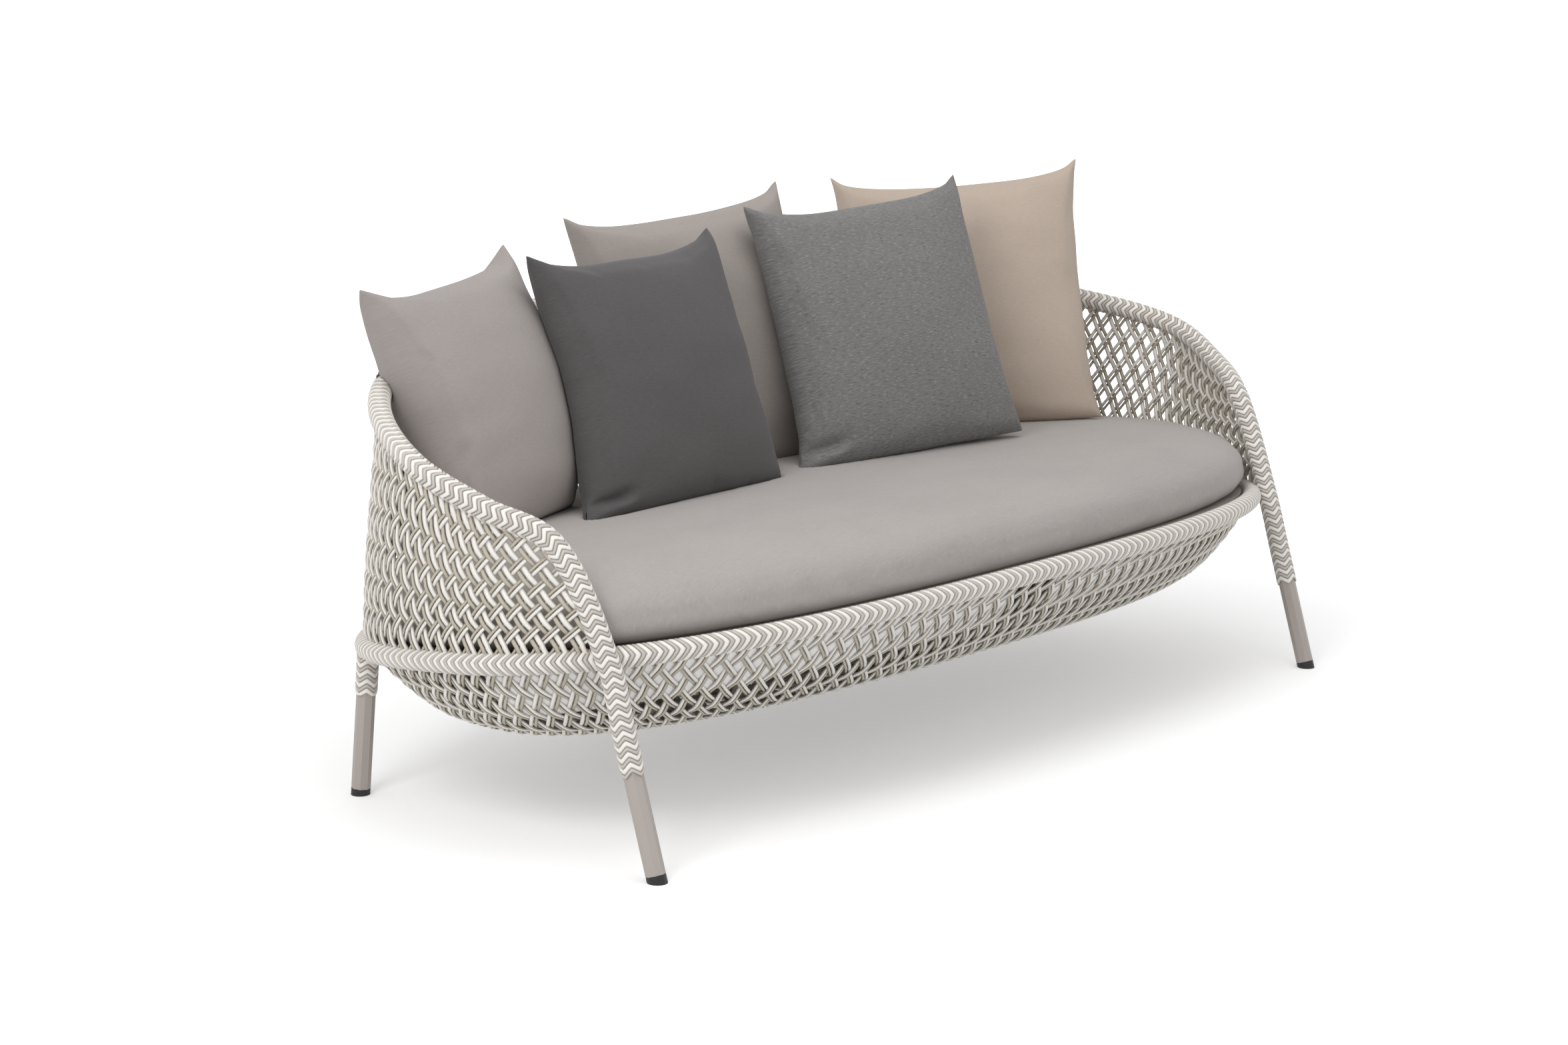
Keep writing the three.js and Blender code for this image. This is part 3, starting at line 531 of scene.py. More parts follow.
def dress_nodes(material, *starts):
    """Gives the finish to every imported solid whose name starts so."""
    dressed = [name for name in nodes if name.startswith(starts)]
    for name in dressed:
        for place in nodes[name].material_slots:
            place.material = material
    print(material.name, "on", len(dressed), "solids")


dress_nodes(hard_material("taupe_powder_coat", (0.690, 0.655, 0.630), 900.0, 0.15),
    "rim_and_front_legs", "seat_ring", "back_leg", "back_upright", "basket_hoop", "seat_rod",
    "cradle_rod")
dress_nodes(hard_material("black_foot_plastic", (0.10, 0.10, 0.11), 1500.0, 0.3), "glide")

# %% [markdown]
# ## Where the strands stand
# Every strand is tied to the ring. Fifty stand under each half of the wall, and forty-eight
# more hang from the open front, where they stand wider apart. So a place round the ring is
# counted in strands, and the weave and the wrapped cords both keep to that count.

# %% Count the strands round the ring
HALF_WALL_STRANDS, FRONT_STRANDS = 50, 48
FRONT_PITCH, PITCH_FALL, PITCH_REACH = 0.0386, 0.0081, 0.12

wall_pitch = half_wall / HALF_WALL_STRANDS
past_joint = np.minimum(ring.marks - half_wall, ring.length - half_wall - ring.marks)
ring_pitch = np.where(past_joint > 0, FRONT_PITCH - PITCH_FALL * np.exp(-past_joint / PITCH_REACH), 1.0)
front_count = np.cumsum(np.gradient(ring.marks) / ring_pitch * (past_joint > 0))
strand_marks = np.clip(ring.marks, 0, half_wall) / wall_pitch
strand_marks += front_count / front_count[-1] * FRONT_STRANDS
strand_marks += np.clip(ring.marks - (ring.length - half_wall), 0, None) / wall_pitch
all_strands = 2 * HALF_WALL_STRANDS + FRONT_STRANDS


def ring_distance(strand_number):
    """The distance round the ring at which a strand stands."""
    turns = np.floor(strand_number / all_strands)
    return np.interp(strand_number - turns * all_strands, strand_marks, ring.marks) + turns * ring.length


def smooth_step(value, low, high):
    """Rises gently from 0 at low to 1 at high."""
    share = np.clip((value - low) / (high - low), 0, 1)
    return share * share * (3 - 2 * share)


print("strands:", all_strands, "of which on the wall", 2 * HALF_WALL_STRANDS)

# %% [markdown]
# ## One length of the weave
# The skin is woven from flat cords in pairs, a white one beside a narrower cream one. The
# pairs climb in two slanting directions, and in every second row the other direction is on top.
# Modelling hundreds of crossings by hand would be slow and uneven. The pattern repeats every
# strand and every two rows, so one short length is extruded for each cord, and the Array
# modifier lays out the rest. A cord is a low ring of six corners, because it is repeated so
# often.


# %% Helpers for meshes
def deselect():
    """Back to object mode with nothing selected."""
    if bpy.context.object and bpy.context.object.mode != "OBJECT":
        bpy.ops.object.mode_set(mode="OBJECT")
    bpy.ops.object.select_all(action="DESELECT")


def activate(*objects):
    """Selects just these and makes the first one active."""
    deselect()
    for piece in objects:
        piece.select_set(True)
    bpy.context.view_layer.objects.active = objects[0]


def write_points(piece, points):
    """Moves every point of a mesh."""
    piece.data.vertices.foreach_set("co", np.asarray(points, np.float32).ravel())
    piece.data.update()


def read_points(piece):
    """The points of a mesh as an array."""
    points = np.empty(3 * len(piece.data.vertices), np.float32)
    piece.data.vertices.foreach_get("co", points)
    return points.reshape(-1, 3).astype(float)


def read_number(piece, name):
    """The values of a number that each point of the mesh carries along."""
    values = np.empty(len(piece.data.vertices), np.float32)
    piece.data.attributes[name].data.foreach_get("value", values)
    return values


def set_attribute(piece, name, kind, values):
    """A number or a vector that each point of the mesh carries along."""
    store = piece.data.attributes.get(name) or piece.data.attributes.new(name, kind, "POINT")
    key = "vector" if kind == "FLOAT_VECTOR" else "value"
    store.data.foreach_set(key, np.asarray(values, np.float32).ravel())


def apply_modifier(piece, kind, **values):
    """Adds a modifier, sets it and applies it."""
    activate(piece)
    modifier = piece.modifiers.new(kind.lower(), kind)
    for key, value in values.items():
        setattr(modifier, key, value)
    bpy.ops.object.modifier_apply(modifier=modifier.name)


# %% A length of flat cord
STRAND_PITCH, ROW_PITCH = 0.0305, 0.030
WHITE_WIDTH, CREAM_WIDTH, CORD_GAP = 0.0076, 0.0066, 0.0008
WHITE_THICKNESS, CREAM_THICKNESS = 0.0050, 0.0034
CORD_RISE = 0.0025
CORD_STEPS = 8
CORD_CORNERS = 6


def cord_length(slant, offset, width, thickness, steps):
    """A cord over two rows; slant is 1 for rising cords and -1 for falling ones."""
    travel = Vector((STRAND_PITCH, 2 * slant * ROW_PITCH, 0))
    way = travel.normalized()
    side = Vector((-way.y, way.x, 0)) * offset
    start = Vector((0, 0 if slant > 0 else 2 * ROW_PITCH, slant * CORD_RISE)) + side
    deselect()
    bpy.ops.mesh.primitive_circle_add(vertices=CORD_CORNERS, radius=1, location=start)
    cord = bpy.context.object
    cord.scale = (width / 2, thickness / 2, 1)
    cord.rotation_euler = (math.pi / 2, 0, math.atan2(way.y, way.x) + math.pi / 2)
    bpy.ops.object.transform_apply(location=True, rotation=True, scale=True)
    bpy.ops.object.mode_set(mode="EDIT")
    bpy.ops.mesh.select_all(action="SELECT")
    for step in range(steps):
        now, then = (slant * CORD_RISE * math.cos(2 * math.pi * s / steps) for s in (step, step + 1))
        move = travel / steps + Vector((0, 0, then - now))
        bpy.ops.mesh.extrude_region_move(TRANSFORM_OT_translate={"value": move})
    bpy.ops.object.mode_set(mode="OBJECT")
    points = read_points(cord) - np.array(start)
    set_attribute(cord, "across", "FLOAT", points[:, :2] @ (-way.y, way.x) / (width / 2))
    return cord


def strand(slant, white_side, steps):
    """A white cord and a cream one side by side, joined into one mesh."""
    full = WHITE_WIDTH + CORD_GAP + CREAM_WIDTH
    cords = []
    for side, width, thickness, material in (
        (white_side, WHITE_WIDTH, WHITE_THICKNESS, white_cord),
        (-white_side, CREAM_WIDTH, CREAM_THICKNESS, cream_cord),
    ):
        cords.append(cord_length(slant, side * (full - width) / 2, width, thickness, steps))
        cords[-1].data.materials.append(material)
    activate(*cords)
    bpy.ops.object.join()
    return bpy.context.object


# %% Repeat, merge and trim
def repeat(piece, counts, offsets):
    """The Array modifier, once for each way."""
    activate(piece)
    for count, offset in zip(counts, offsets):
        array = piece.modifiers.new("rows", "ARRAY")
        array.count = count
        array.use_relative_offset = False
        array.use_constant_offset = True
        array.constant_offset_displace = offset
        bpy.ops.object.modifier_apply(modifier=array.name)


def merge_ends(piece, distance=0.00008):
    """Merges points that lie on each other, where one length meets the next."""
    activate(piece)
    bpy.ops.object.mode_set(mode="EDIT")
    bpy.ops.mesh.select_all(action="SELECT")
    bpy.ops.mesh.remove_doubles(threshold=distance)
    bpy.ops.object.mode_set(mode="OBJECT")


def drop_faces(piece, beyond):
    """Deletes the faces whose middle is beyond the edge, given as a test of middles."""
    middles = np.empty(3 * len(piece.data.polygons), np.float32)
    piece.data.polygons.foreach_get("center", middles)
    activate(piece)
    bpy.ops.object.mode_set(mode="EDIT")
    bpy.ops.mesh.select_all(action="DESELECT")
    bpy.ops.mesh.select_mode(type="FACE")
    bpy.ops.object.mode_set(mode="OBJECT")
    piece.data.polygons.foreach_set("select", beyond(middles.reshape(-1, 3).astype(float)))
    bpy.ops.object.mode_set(mode="EDIT")
    bpy.ops.mesh.delete(type="FACE")
    bpy.ops.mesh.select_mode(type="VERT")
    bpy.ops.object.mode_set(mode="OBJECT")


def close_ends(piece):
    """Fills each open end of a cord and turns all faces outwards."""
    activate(piece)
    bpy.ops.object.mode_set(mode="EDIT")
    bpy.ops.mesh.select_all(action="SELECT")
    bpy.ops.mesh.fill_holes(sides=0)
    bpy.ops.mesh.select_all(action="SELECT")
    bpy.ops.mesh.normals_make_consistent(inside=False)
    bpy.ops.object.mode_set(mode="OBJECT")
    bpy.ops.object.shade_smooth()


# %% Lay a flat cloth
SMALL_STEP = 0.1
CORD_PER_ROW = 1.12


def flat_weave(name, slant, white_side, first, columns, rows, lay, steps=CORD_STEPS):
    """One direction of strands, laid flat; lay turns strand and row numbers into metres."""
    cloth = strand(slant, white_side, steps)
    cloth.name = cloth.data.name = name
    repeat(cloth, (columns, math.ceil(rows / 2)), ((STRAND_PITCH, 0, 0), (0, 2 * ROW_PITCH, 0)))
    merge_ends(cloth)
    points = read_points(cloth) + (first * STRAND_PITCH, 0, 0)
    way = np.array([STRAND_PITCH, 2 * slant * ROW_PITCH])
    way /= np.linalg.norm(way)
    side = np.array([-way[1], way[0]])
    number = np.round(points[:, 0] / STRAND_PITCH - slant * points[:, 1] / (2 * ROW_PITCH))
    offset = (points[:, :2] - np.outer(number, (STRAND_PITCH, 0))) @ side
    middle = (points[:, :2] - offset[:, None] * side) / (STRAND_PITCH, ROW_PITCH)
    step = SMALL_STEP * np.array([0.25, 0.5 * slant])
    laid = lay(*middle.T)
    direction = lay(*(middle + step).T) - lay(*(middle - step).T)
    direction /= np.linalg.norm(direction, axis=1, keepdims=True)
    points[:, :2] = laid + offset[:, None] * np.stack([-direction[:, 1], direction[:, 0]], axis=-1)
    write_points(cloth, points)
    along = middle[:, 1] * ROW_PITCH * CORD_PER_ROW
    lay_values = np.stack([along, read_number(cloth, "across"), number], axis=-1)
    set_attribute(cloth, "lay", "FLOAT_VECTOR", lay_values)
    return cloth


def triangles(piece):
    """How many triangles the mesh comes to."""
    return sum(len(face.vertices) - 2 for face in piece.data.polygons)


def finish_piece(piece, slot, *replaced):
    """The piece rides on the sofa and stands for CAD nodes, which it hides; slot is not used."""
    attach(piece, "root")
    if replaced:
        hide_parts(*replaced)
    print(piece.name, "has", triangles(piece), "triangles")


# %% [markdown]
# ## The wall
# The wall stands on the ring between the two front joints and hangs from the rim. The real
# weaver starts each cord at the ring and cuts it where it meets the rim, so the flat cloth is
# made higher than the wall and trimmed along the rim's middle, inside the wrapped tube. Near
# the front joints the rows lie closer together and the strands lean back with the rim.

# %% Weave the wall
FIRST_ROW = 0.035
LOW_ROW, LOW_ROW_FROM, LOW_ROW_TO = 0.0205, 35, 44
SIDE_LEAN, SIDE_LEAN_TO = 0.075, 37
JOINT_LEAN, JOINT_LEAN_FROM, JOINT_LEAN_TO = 0.285, 36, 46


def wall_lay(strand_number, row):
    """Rows get lower and strands lean back towards the two front joints."""
    out = np.abs(strand_number)
    row_height = ROW_PITCH + (LOW_ROW - ROW_PITCH) * smooth_step(out, LOW_ROW_FROM, LOW_ROW_TO)
    y = FIRST_ROW * np.minimum(row, 1) + row_height * np.maximum(row - 1, 0)
    lean = SIDE_LEAN * np.minimum(out / SIDE_LEAN_TO, 1)
    lean += JOINT_LEAN * smooth_step(out, JOINT_LEAN_FROM, JOINT_LEAN_TO)
    return np.stack([wall_pitch * strand_number - np.sign(strand_number) * lean * y, y], axis=-1)


SPARE_STRANDS = 4
JOINT_ROOM, RIM_BITE = 0.004, 0.002
wall_rows = math.ceil(wall_skin.lengths.max() / ROW_PITCH) + 1
for name, slant in (("wall_cords_rising", 1), ("wall_cords_falling", -1)):
    reach = HALF_WALL_STRANDS + SPARE_STRANDS
    cords = flat_weave(name, slant, -slant, -reach, 2 * reach, wall_rows, wall_lay)
    drop_faces(cords, lambda middles: (
        (np.abs(middles[:, 0]) > half_wall - JOINT_ROOM)
        | (middles[:, 1] > wall_skin.length_at(middles[:, 0]) + RIM_BITE)))
    close_ends(cords)
    write_points(cords, wall_skin.place(read_points(cords)))
    close_ends(cords)
    finish_piece(cords, "weave", "wall_weave")

# %% [markdown]
# ## The basket side
# Under the ring the same cords go on down, lean inwards and turn under to the floor of the
# basket. The cloth is closed into a loop here, so its two ends are merged after it is laid.

# %% Weave the basket side
BASKET_ROWS = 9
BASKET_LEAN, LEAN_BLEND = 0.11, 0.1
BASKET_START = 0.005


def basket_lay(strand_number, row):
    """Strands hang evenly between the ring and the floor and lean a little in front."""
    x = ring_distance(strand_number)
    place = x % ring.length
    y = BASKET_START + (basket_skin.length_at(place) - BASKET_START) * row / BASKET_ROWS
    front = 1
    for from_back in (place, ring.length - place):
        front = front * smooth_step(from_back, half_wall - LEAN_BLEND, half_wall + LEAN_BLEND)
    return np.stack([x - BASKET_LEAN * front * y, y], axis=-1)


for name, slant in (("basket_cords_rising", 1), ("basket_cords_falling", -1)):
    cords = flat_weave(name, slant, -1, 0, all_strands, BASKET_ROWS + 1, basket_lay)
    drop_faces(cords, lambda middles: middles[:, 1] > basket_skin.length_at(middles[:, 0] % ring.length))
    points = read_points(cords)
    points[:, 0] %= ring.length
    write_points(cords, basket_skin.place(points))
    merge_ends(cords, 0.0004)
    close_ends(cords)
    finish_piece(cords, "weave", "basket_side_weave")

# %% [markdown]
# ## The basket floor
# The floor is seen only from below. The same weave lies flat there and is trimmed to the oval
# where the side turns under.

# %% Weave the basket floor
FLOOR_LAP = 0.006
floor_half_length = BASKET_HALF_LENGTH - BASKET_EDGE_ROUND + FLOOR_LAP
floor_half_depth = BASKET_HALF_DEPTH - BASKET_EDGE_ROUND + FLOOR_LAP
floor_columns = math.ceil(floor_half_length / STRAND_PITCH)
floor_rows = 2 * math.ceil(floor_half_depth / ROW_PITCH)


def floor_lay(strand_number, row):
    """Even strands and rows on both sides of the basket's middle line."""
    y = (row - floor_rows / 2) * ROW_PITCH + BASKET_SHIFT
    return np.stack([strand_number * STRAND_PITCH, y], axis=-1)


for name, slant in (("floor_cords_rising", 1), ("floor_cords_falling", -1)):
    cords = flat_weave(name, slant, -1, -floor_columns, 2 * floor_columns, floor_rows, floor_lay, steps=6)
    write_points(cords, read_points(cords) + (0, 0, BASKET_FLOOR))
    drop_faces(cords, lambda middles: (
        np.abs(middles[:, 0] / floor_half_length) ** BASKET_ROUNDNESS
        + np.abs((middles[:, 1] - BASKET_SHIFT) / floor_half_depth) ** BASKET_ROUNDNESS) > 1)
    close_ends(cords)
    finish_piece(cords, "weave", "basket_floor_weave")

# %% [markdown]
# ## Wrapped tubes
# The ring, the rim and the upper legs are wrapped in cord that shows as zigzag stripes, pale
# and grey by turns. One pale and one grey turn are modelled round a straight tube: a circle
# is extruded into a low arch and its ends are bridged. The turns are repeated along the tube,
# pushed into a zigzag by moving each point along the tube, and then laid along the bent curve.

# %% A turn of cord round a tube
WRAP_HEIGHT = 0.0028
WHITE_SHARE = 0.58
ARCH = [(-0.5, 0.25), (-0.30, 0.88), (0, 1), (0.30, 0.88), (0.5, 0.25)]


def wrap_turn(radius, width, segments, material):
    """One closed turn of flat cord round a tube that lies along X."""
    deselect()
    bpy.ops.mesh.primitive_circle_add(vertices=segments, radius=radius, rotation=(0, math.pi / 2, 0))
    turn = bpy.context.object
    bpy.ops.object.transform_apply(location=True, rotation=True, scale=True)
    bpy.ops.object.mode_set(mode="EDIT")
    bpy.ops.mesh.select_all(action="SELECT")
    bpy.ops.transform.translate(value=(-width / 2, 0, 0))
    now_x, now_radius = -0.5, radius
    for x, rise in ARCH:
        bpy.ops.mesh.extrude_region_move(TRANSFORM_OT_translate={"value": ((x - now_x) * width, 0, 0)})
        new_radius = radius + rise * WRAP_HEIGHT
        grow = new_radius / now_radius
        bpy.ops.transform.resize(value=(1, grow, grow), center_override=(0, 0, 0))
        now_x, now_radius = x, new_radius
    bpy.ops.mesh.extrude_region_move()
    bpy.ops.transform.resize(value=(1, radius / now_radius, radius / now_radius), center_override=(0, 0, 0))
    bpy.ops.mesh.select_all(action="DESELECT")
    bpy.ops.mesh.select_non_manifold(extend=False)
    bpy.ops.mesh.bridge_edge_loops()
    bpy.ops.object.mode_set(mode="OBJECT")
    points = read_points(turn)
    set_attribute(turn, "across", "FLOAT", points[:, 0] / (width / 2))
    turn.data.materials.append(material)
    return turn


def level_way_out(line, distance):
    """The way out of the sofa, square to the line and level."""
    way = line.direction(distance)
    out = np.stack([-way[:, 1], way[:, 0], 0 * way[:, 0]], axis=-1)
    middle = line.at(distance)
    return out * np.sign(np.sum(out[:, :2] * middle[:, :2], axis=1, keepdims=True))


def wrapped(name, line, start, end, pairs, radius, segments, zigzag, place_of=None):
    """White and grey turns along a line; place_of turns an even distance into the real one."""
    pair = (end - start) / pairs
    width = pair * WHITE_SHARE
    turns = [wrap_turn(radius, w, segments, m) for w, m in ((width, white_cord), (pair - width, grey_cord))]
    write_points(turns[1], read_points(turns[1]) + (pair / 2, 0, 0))
    activate(*turns)
    bpy.ops.object.join()
    wrap = bpy.context.object
    wrap.name = wrap.data.name = name
    repeat(wrap, (pairs,), ((pair, 0, 0),))
    points = read_points(wrap)
    distance = points[:, 0] + start + width / 2
    if place_of:
        distance = place_of(distance)
    angle = np.arctan2(points[:, 2], points[:, 1])
    lay_values = np.stack([angle * radius, read_number(wrap, "across"), distance], axis=-1)
    set_attribute(wrap, "lay", "FLOAT_VECTOR", lay_values)
    distance = distance + zigzag(distance, angle)
    if place_of:
        distance %= line.length
    way = line.direction(distance)
    outward = level_way_out(line, distance)
    outward -= np.sum(outward * way, axis=1, keepdims=True) * way
    outward /= np.linalg.norm(outward, axis=1, keepdims=True)
    upward = np.cross(way, outward)
    upward *= np.sign(upward[:, 2:3].sum())
    write_points(wrap, line.at(distance) + points[:, 1:2] * outward + points[:, 2:3] * upward)
    close_ends(wrap)
    return wrap


# %% Wrap the ring
RING_ZIGZAG, RING_TIP = 0.0075, 0.01
RING_PHASE = 0.17
APEX_ANGLE = 0.3
TURN_OVER = 0.03


def ring_zigzag(distance, angle):
    """Chevrons that point towards +X in front and towards the back at both ends."""
    turned = np.tanh((distance - half_wall) / TURN_OVER)
    turned *= np.tanh((ring.length - distance) / TURN_OVER) * np.tanh(distance / TURN_OVER)
    return RING_ZIGZAG * turned * (1 - 2 * np.sqrt(np.sin(angle - APEX_ANGLE) ** 2 + RING_TIP))


def ring_place(distance):
    """Sets the turns where the strands stand, closer near the wall and wider in front."""
    return ring_distance(distance / ring.length * all_strands + RING_PHASE)


ring_wrap = wrapped("ring_wrap", ring, 0.0, ring.length, 2 * all_strands, RING_TUBE, segments=20,
    zigzag=ring_zigzag, place_of=ring_place)
finish_piece(ring_wrap, "braid", "seat_ring_braid")

# %% Wrap the rim and the front legs
LEG_PAIR_PITCH = 0.0165
LEG_ZIGZAG, LEG_TIP = 0.0048, 0.96
FRONT_WRAP_END = 0.168 - GLIDE_DROP


def leg_zigzag(distance, angle):
    """Four points round the tube, with short rounded tips and straight sides."""
    return LEG_ZIGZAG * np.arcsin(LEG_TIP * np.cos(4 * angle)) / math.asin(LEG_TIP)


def leg_pairs(start, end):
    """How many pairs of turns fit between two places."""
    return round((end - start) / LEG_PAIR_PITCH)


rim_wrap = wrapped("rim_wrap", rim, FRONT_WRAP_END, rim.length - FRONT_WRAP_END,
    leg_pairs(FRONT_WRAP_END, rim.length - FRONT_WRAP_END), FRAME_TUBE, segments=24,
    zigzag=leg_zigzag)
finish_piece(rim_wrap, "braid", "rim_braid")

# %% Wrap the back legs
BACK_JOINT_SHARE = 0.882
BACK_LEG_RAKE, BACK_LEG_SPLAY = 0.013, 0.016
BACK_WRAP_END = 0.172
LEG_TOP_DROP = 0.012

back_depth = (1 - BACK_JOINT_SHARE**RING_ROUNDNESS) ** (1 / RING_ROUNDNESS)
back_joint = np.array([RING_HALF_LENGTH * BACK_JOINT_SHARE, RING_HALF_DEPTH * back_depth, 0])
back_joint[2] = ring_height(back_joint[1])
back_foot = np.array([back_joint[0] + BACK_LEG_SPLAY, back_joint[1] + BACK_LEG_RAKE, 0])
back_axis = (back_joint - back_foot) / np.linalg.norm(back_joint - back_foot)
for side, mirror in (("right", 1), ("left", -1)):
    ends = np.array([back_foot + BACK_WRAP_END * back_axis, back_joint - LEG_TOP_DROP * back_axis])
    leg = Line(ends * (mirror, 1, 1))
    leg_wrap = wrapped(f"back_leg_wrap_{side}", leg, 0.0, leg.length, leg_pairs(0, leg.length),
        FRAME_TUBE, segments=24, zigzag=leg_zigzag)
    finish_piece(leg_wrap, "braid", f"back_leg_braid_{side}")

# %% [markdown]
# ## A woven cloth finish
# The covers are outdoor cloth, woven from thick spun yarns of slightly different shades. Close
# up that gives crossed threads, and further off short pale and dark fibres that run one way.
# A sheen at the edge of sight comes from the fuzz of the yarn, so it is set on the shader.

# %% A shared group for cloth
THREAD_WAVES = 4200.0
THREAD_SHADE = 0.04
PATCH_SHADE = 0.07
PALE_FIBRES, DARK_FIBRES, PATCHES = (90, 620, 90), (70, 540, 110), (5, 9, 7)

cloth_group, cloth_in, cloth_out = new_group(
    "woven_cloth",
    {"Colour": (0.4, 0.4, 0.4, 1), "Pale fibre": (0.6, 0.6, 0.6, 1), "Dark fibre": (0.2, 0.2, 0.2, 1),
     "Fibre": 0.3},
    ["Colour", "Height"],
)
cloth_group.interface.new_socket("Place", in_out="INPUT", socket_type="NodeSocketVector")
given = cloth_in.outputs
place = given["Place"]


def fibre_mask(stretch, low, high):
    """Short streaks: a noise that is stretched along one way of the cloth."""
    squeezed = add_node(cloth_group, "ShaderNodeVectorMath", operation="MULTIPLY", links=[(place, 0)])
    squeezed.inputs[1].default_value = stretch
    streaks = add_node(cloth_group, "ShaderNodeTexNoise", Scale=1.0, Detail=2.0, Roughness=0.6,
        links=[(squeezed.outputs[0], "Vector")])
    return ranged(cloth_group, streaks.outputs[0], low, high)


warp, weft, _ = add_node(cloth_group, "ShaderNodeSeparateXYZ", links=[(place, 0)]).outputs
waves = [math_node(cloth_group, "SINE", math_node(cloth_group, "MULTIPLY", way, THREAD_WAVES))
    for way in (warp, weft)]
threads = math_node(cloth_group, "MULTIPLY", *waves)
pale = math_node(cloth_group, "MULTIPLY", fibre_mask(PALE_FIBRES, 0.52, 0.68), given["Fibre"])
dark = math_node(cloth_group, "MULTIPLY", fibre_mask(DARK_FIBRES, 0.52, 0.70), given["Fibre"])
with_pale = mix_colour(cloth_group, pale, given["Colour"], given["Pale fibre"])
with_dark = mix_colour(cloth_group, dark, with_pale, given["Dark fibre"])
patches = fibre_mask(PATCHES, 0.2, 0.8)
shade = math_node(cloth_group, "MULTIPLY_ADD", patches, PATCH_SHADE, 1 - PATCH_SHADE / 2)
shade = math_node(cloth_group, "MULTIPLY_ADD", threads, THREAD_SHADE, shade)
shaded = add_node(cloth_group, "ShaderNodeHueSaturation", links=[(shade, "Value"), (with_dark, "Color")])
put_out(cloth_group, cloth_out, Height=threads, Colour=shaded.outputs[0])
print("group", cloth_group.name, "has", len(cloth_group.nodes), "nodes")


# %% Cloth colours
THREAD_STRENGTH, THREAD_RELIEF = 0.25, 0.0003


def cloth_material(name, colour, contrast, fibre, on_map=True):
    """Cloth of one colour, with fibres that much paler and darker; on its map or in space."""
    material, tree, shader, weave = grouped_material(
        name, cloth_group, THREAD_STRENGTH, THREAD_RELIEF,
        Colour=linear(*colour), Pale_fibre=linear(*(min(1, c + contrast) for c in colour)),
        Dark_fibre=linear(*(max(0, c - contrast) for c in colour)), Fibre=fibre)
    places = add_node(tree, "ShaderNodeTexCoord").outputs
    tree.links.new(places["UV" if on_map else "Object"], weave.inputs["Place"])
    set_sockets(shader, {
        "Roughness": 0.92, "Specular IOR Level": 0.25, "Sheen Weight": 0.12, "Sheen Roughness": 0.5})
    return material


COVER_COLOURS = {
    "taupe_left": ((0.640, 0.612, 0.598), 0.05, 0.4),
    "charcoal": ((0.352, 0.340, 0.344), 0.05, 0.4),
    "grey_back": ((0.635, 0.605, 0.585), 0.05, 0.4),
    "melange": ((0.480, 0.474, 0.470), 0.13, 0.75),
    "sand_right": ((0.745, 0.685, 0.630), 0.06, 0.4),
}
SEAT_COLOUR = ((0.690, 0.667, 0.652), 0.05, 0.4)
SLING_COLOUR = ((0.553, 0.529, 0.506), 0.06, 0.4)
LINER_COLOUR = ((0.95, 0.95, 0.945), 0.04, 0.3)
print("covers:", list(COVER_COLOURS))

# %% [markdown]
# ## The liner and the sling
# Behind the basket's upper rows hangs a liner of white mesh, in two lengths with a gap between
# them, so that part of the weave looks closed. A second cloth, the sling, is stretched inside
# the ring and carries the seat cushion. Both are plain sheets: a grid is laid out flat, bent to
# its place and given a thickness.


# %% A helper for sheets
def cloth_grid(name, columns, rows, material):
    """A flat grid from -1 to 1 both ways, to be bent into a sheet."""
    deselect()
    bpy.ops.mesh.primitive_grid_add(x_subdivisions=columns, y_subdivisions=rows, size=2)
    sheet = bpy.context.object
    sheet.name = sheet.data.name = name
    sheet.data.materials.append(material)
    return sheet


def finish_sheet(sheet, thickness, slot, replaced):
    """Gives the sheet its thickness and lets it stand for a CAD node."""
    apply_modifier(sheet, "SOLIDIFY", thickness=thickness, offset=0)
    close_ends(sheet)
    finish_piece(sheet, slot, replaced)


# %% Hang the liner
LINER_SPANS = {"left": (0.271, 0.491), "right": (0.5155, 0.612)}
LINER_TOP, LINER_BOTTOM = 0.022, 0.116
LINER_BEHIND, LINER_THICKNESS = 0.0018, 0.0010
LINER_CELL, LINER_ROWS = 0.012, 14

liner_mesh = cloth_material("liner_mesh", *LINER_COLOUR, on_map=False)
for end, (first, last) in LINER_SPANS.items():
    length, width = (last - first) * ring.length, LINER_BOTTOM - LINER_TOP
    liner = cloth_grid(f"liner_{end}", round(length / LINER_CELL), LINER_ROWS, liner_mesh)
    across, down = (read_points(liner)[:, :2].T + 1) / 2
    flat = [first * ring.length + length * across, LINER_TOP + width * down, 0 * down - LINER_BEHIND]
    write_points(liner, basket_skin.place(np.stack(flat, axis=-1)))
    finish_sheet(liner, LINER_THICKNESS, "liner",
        f"inner_liner_{end}")

# %% Stretch the sling
SLING_INSET, SLING_LIFT, SLING_THICKNESS = 0.019, 0.0105, 0.0025

sling = cloth_grid("sling_cloth", 90, 40, cloth_material("sling_mesh", *SLING_COLOUR, on_map=False))
u, v = read_points(sling)[:, :2].T
reach = np.maximum(np.abs(u), np.abs(v))
half_length, half_depth = RING_HALF_LENGTH - SLING_INSET, RING_HALF_DEPTH - SLING_INSET
edge = oval(np.arctan2(v * half_depth, u * half_length), half_length, half_depth, RING_ROUNDNESS)
points = edge * reach[:, None]
points[:, 2] = ring_height(points[:, 1]) + SLING_LIFT
write_points(sling, points)
finish_sheet(sling, SLING_THICKNESS,
    "sling", "seat_sling")

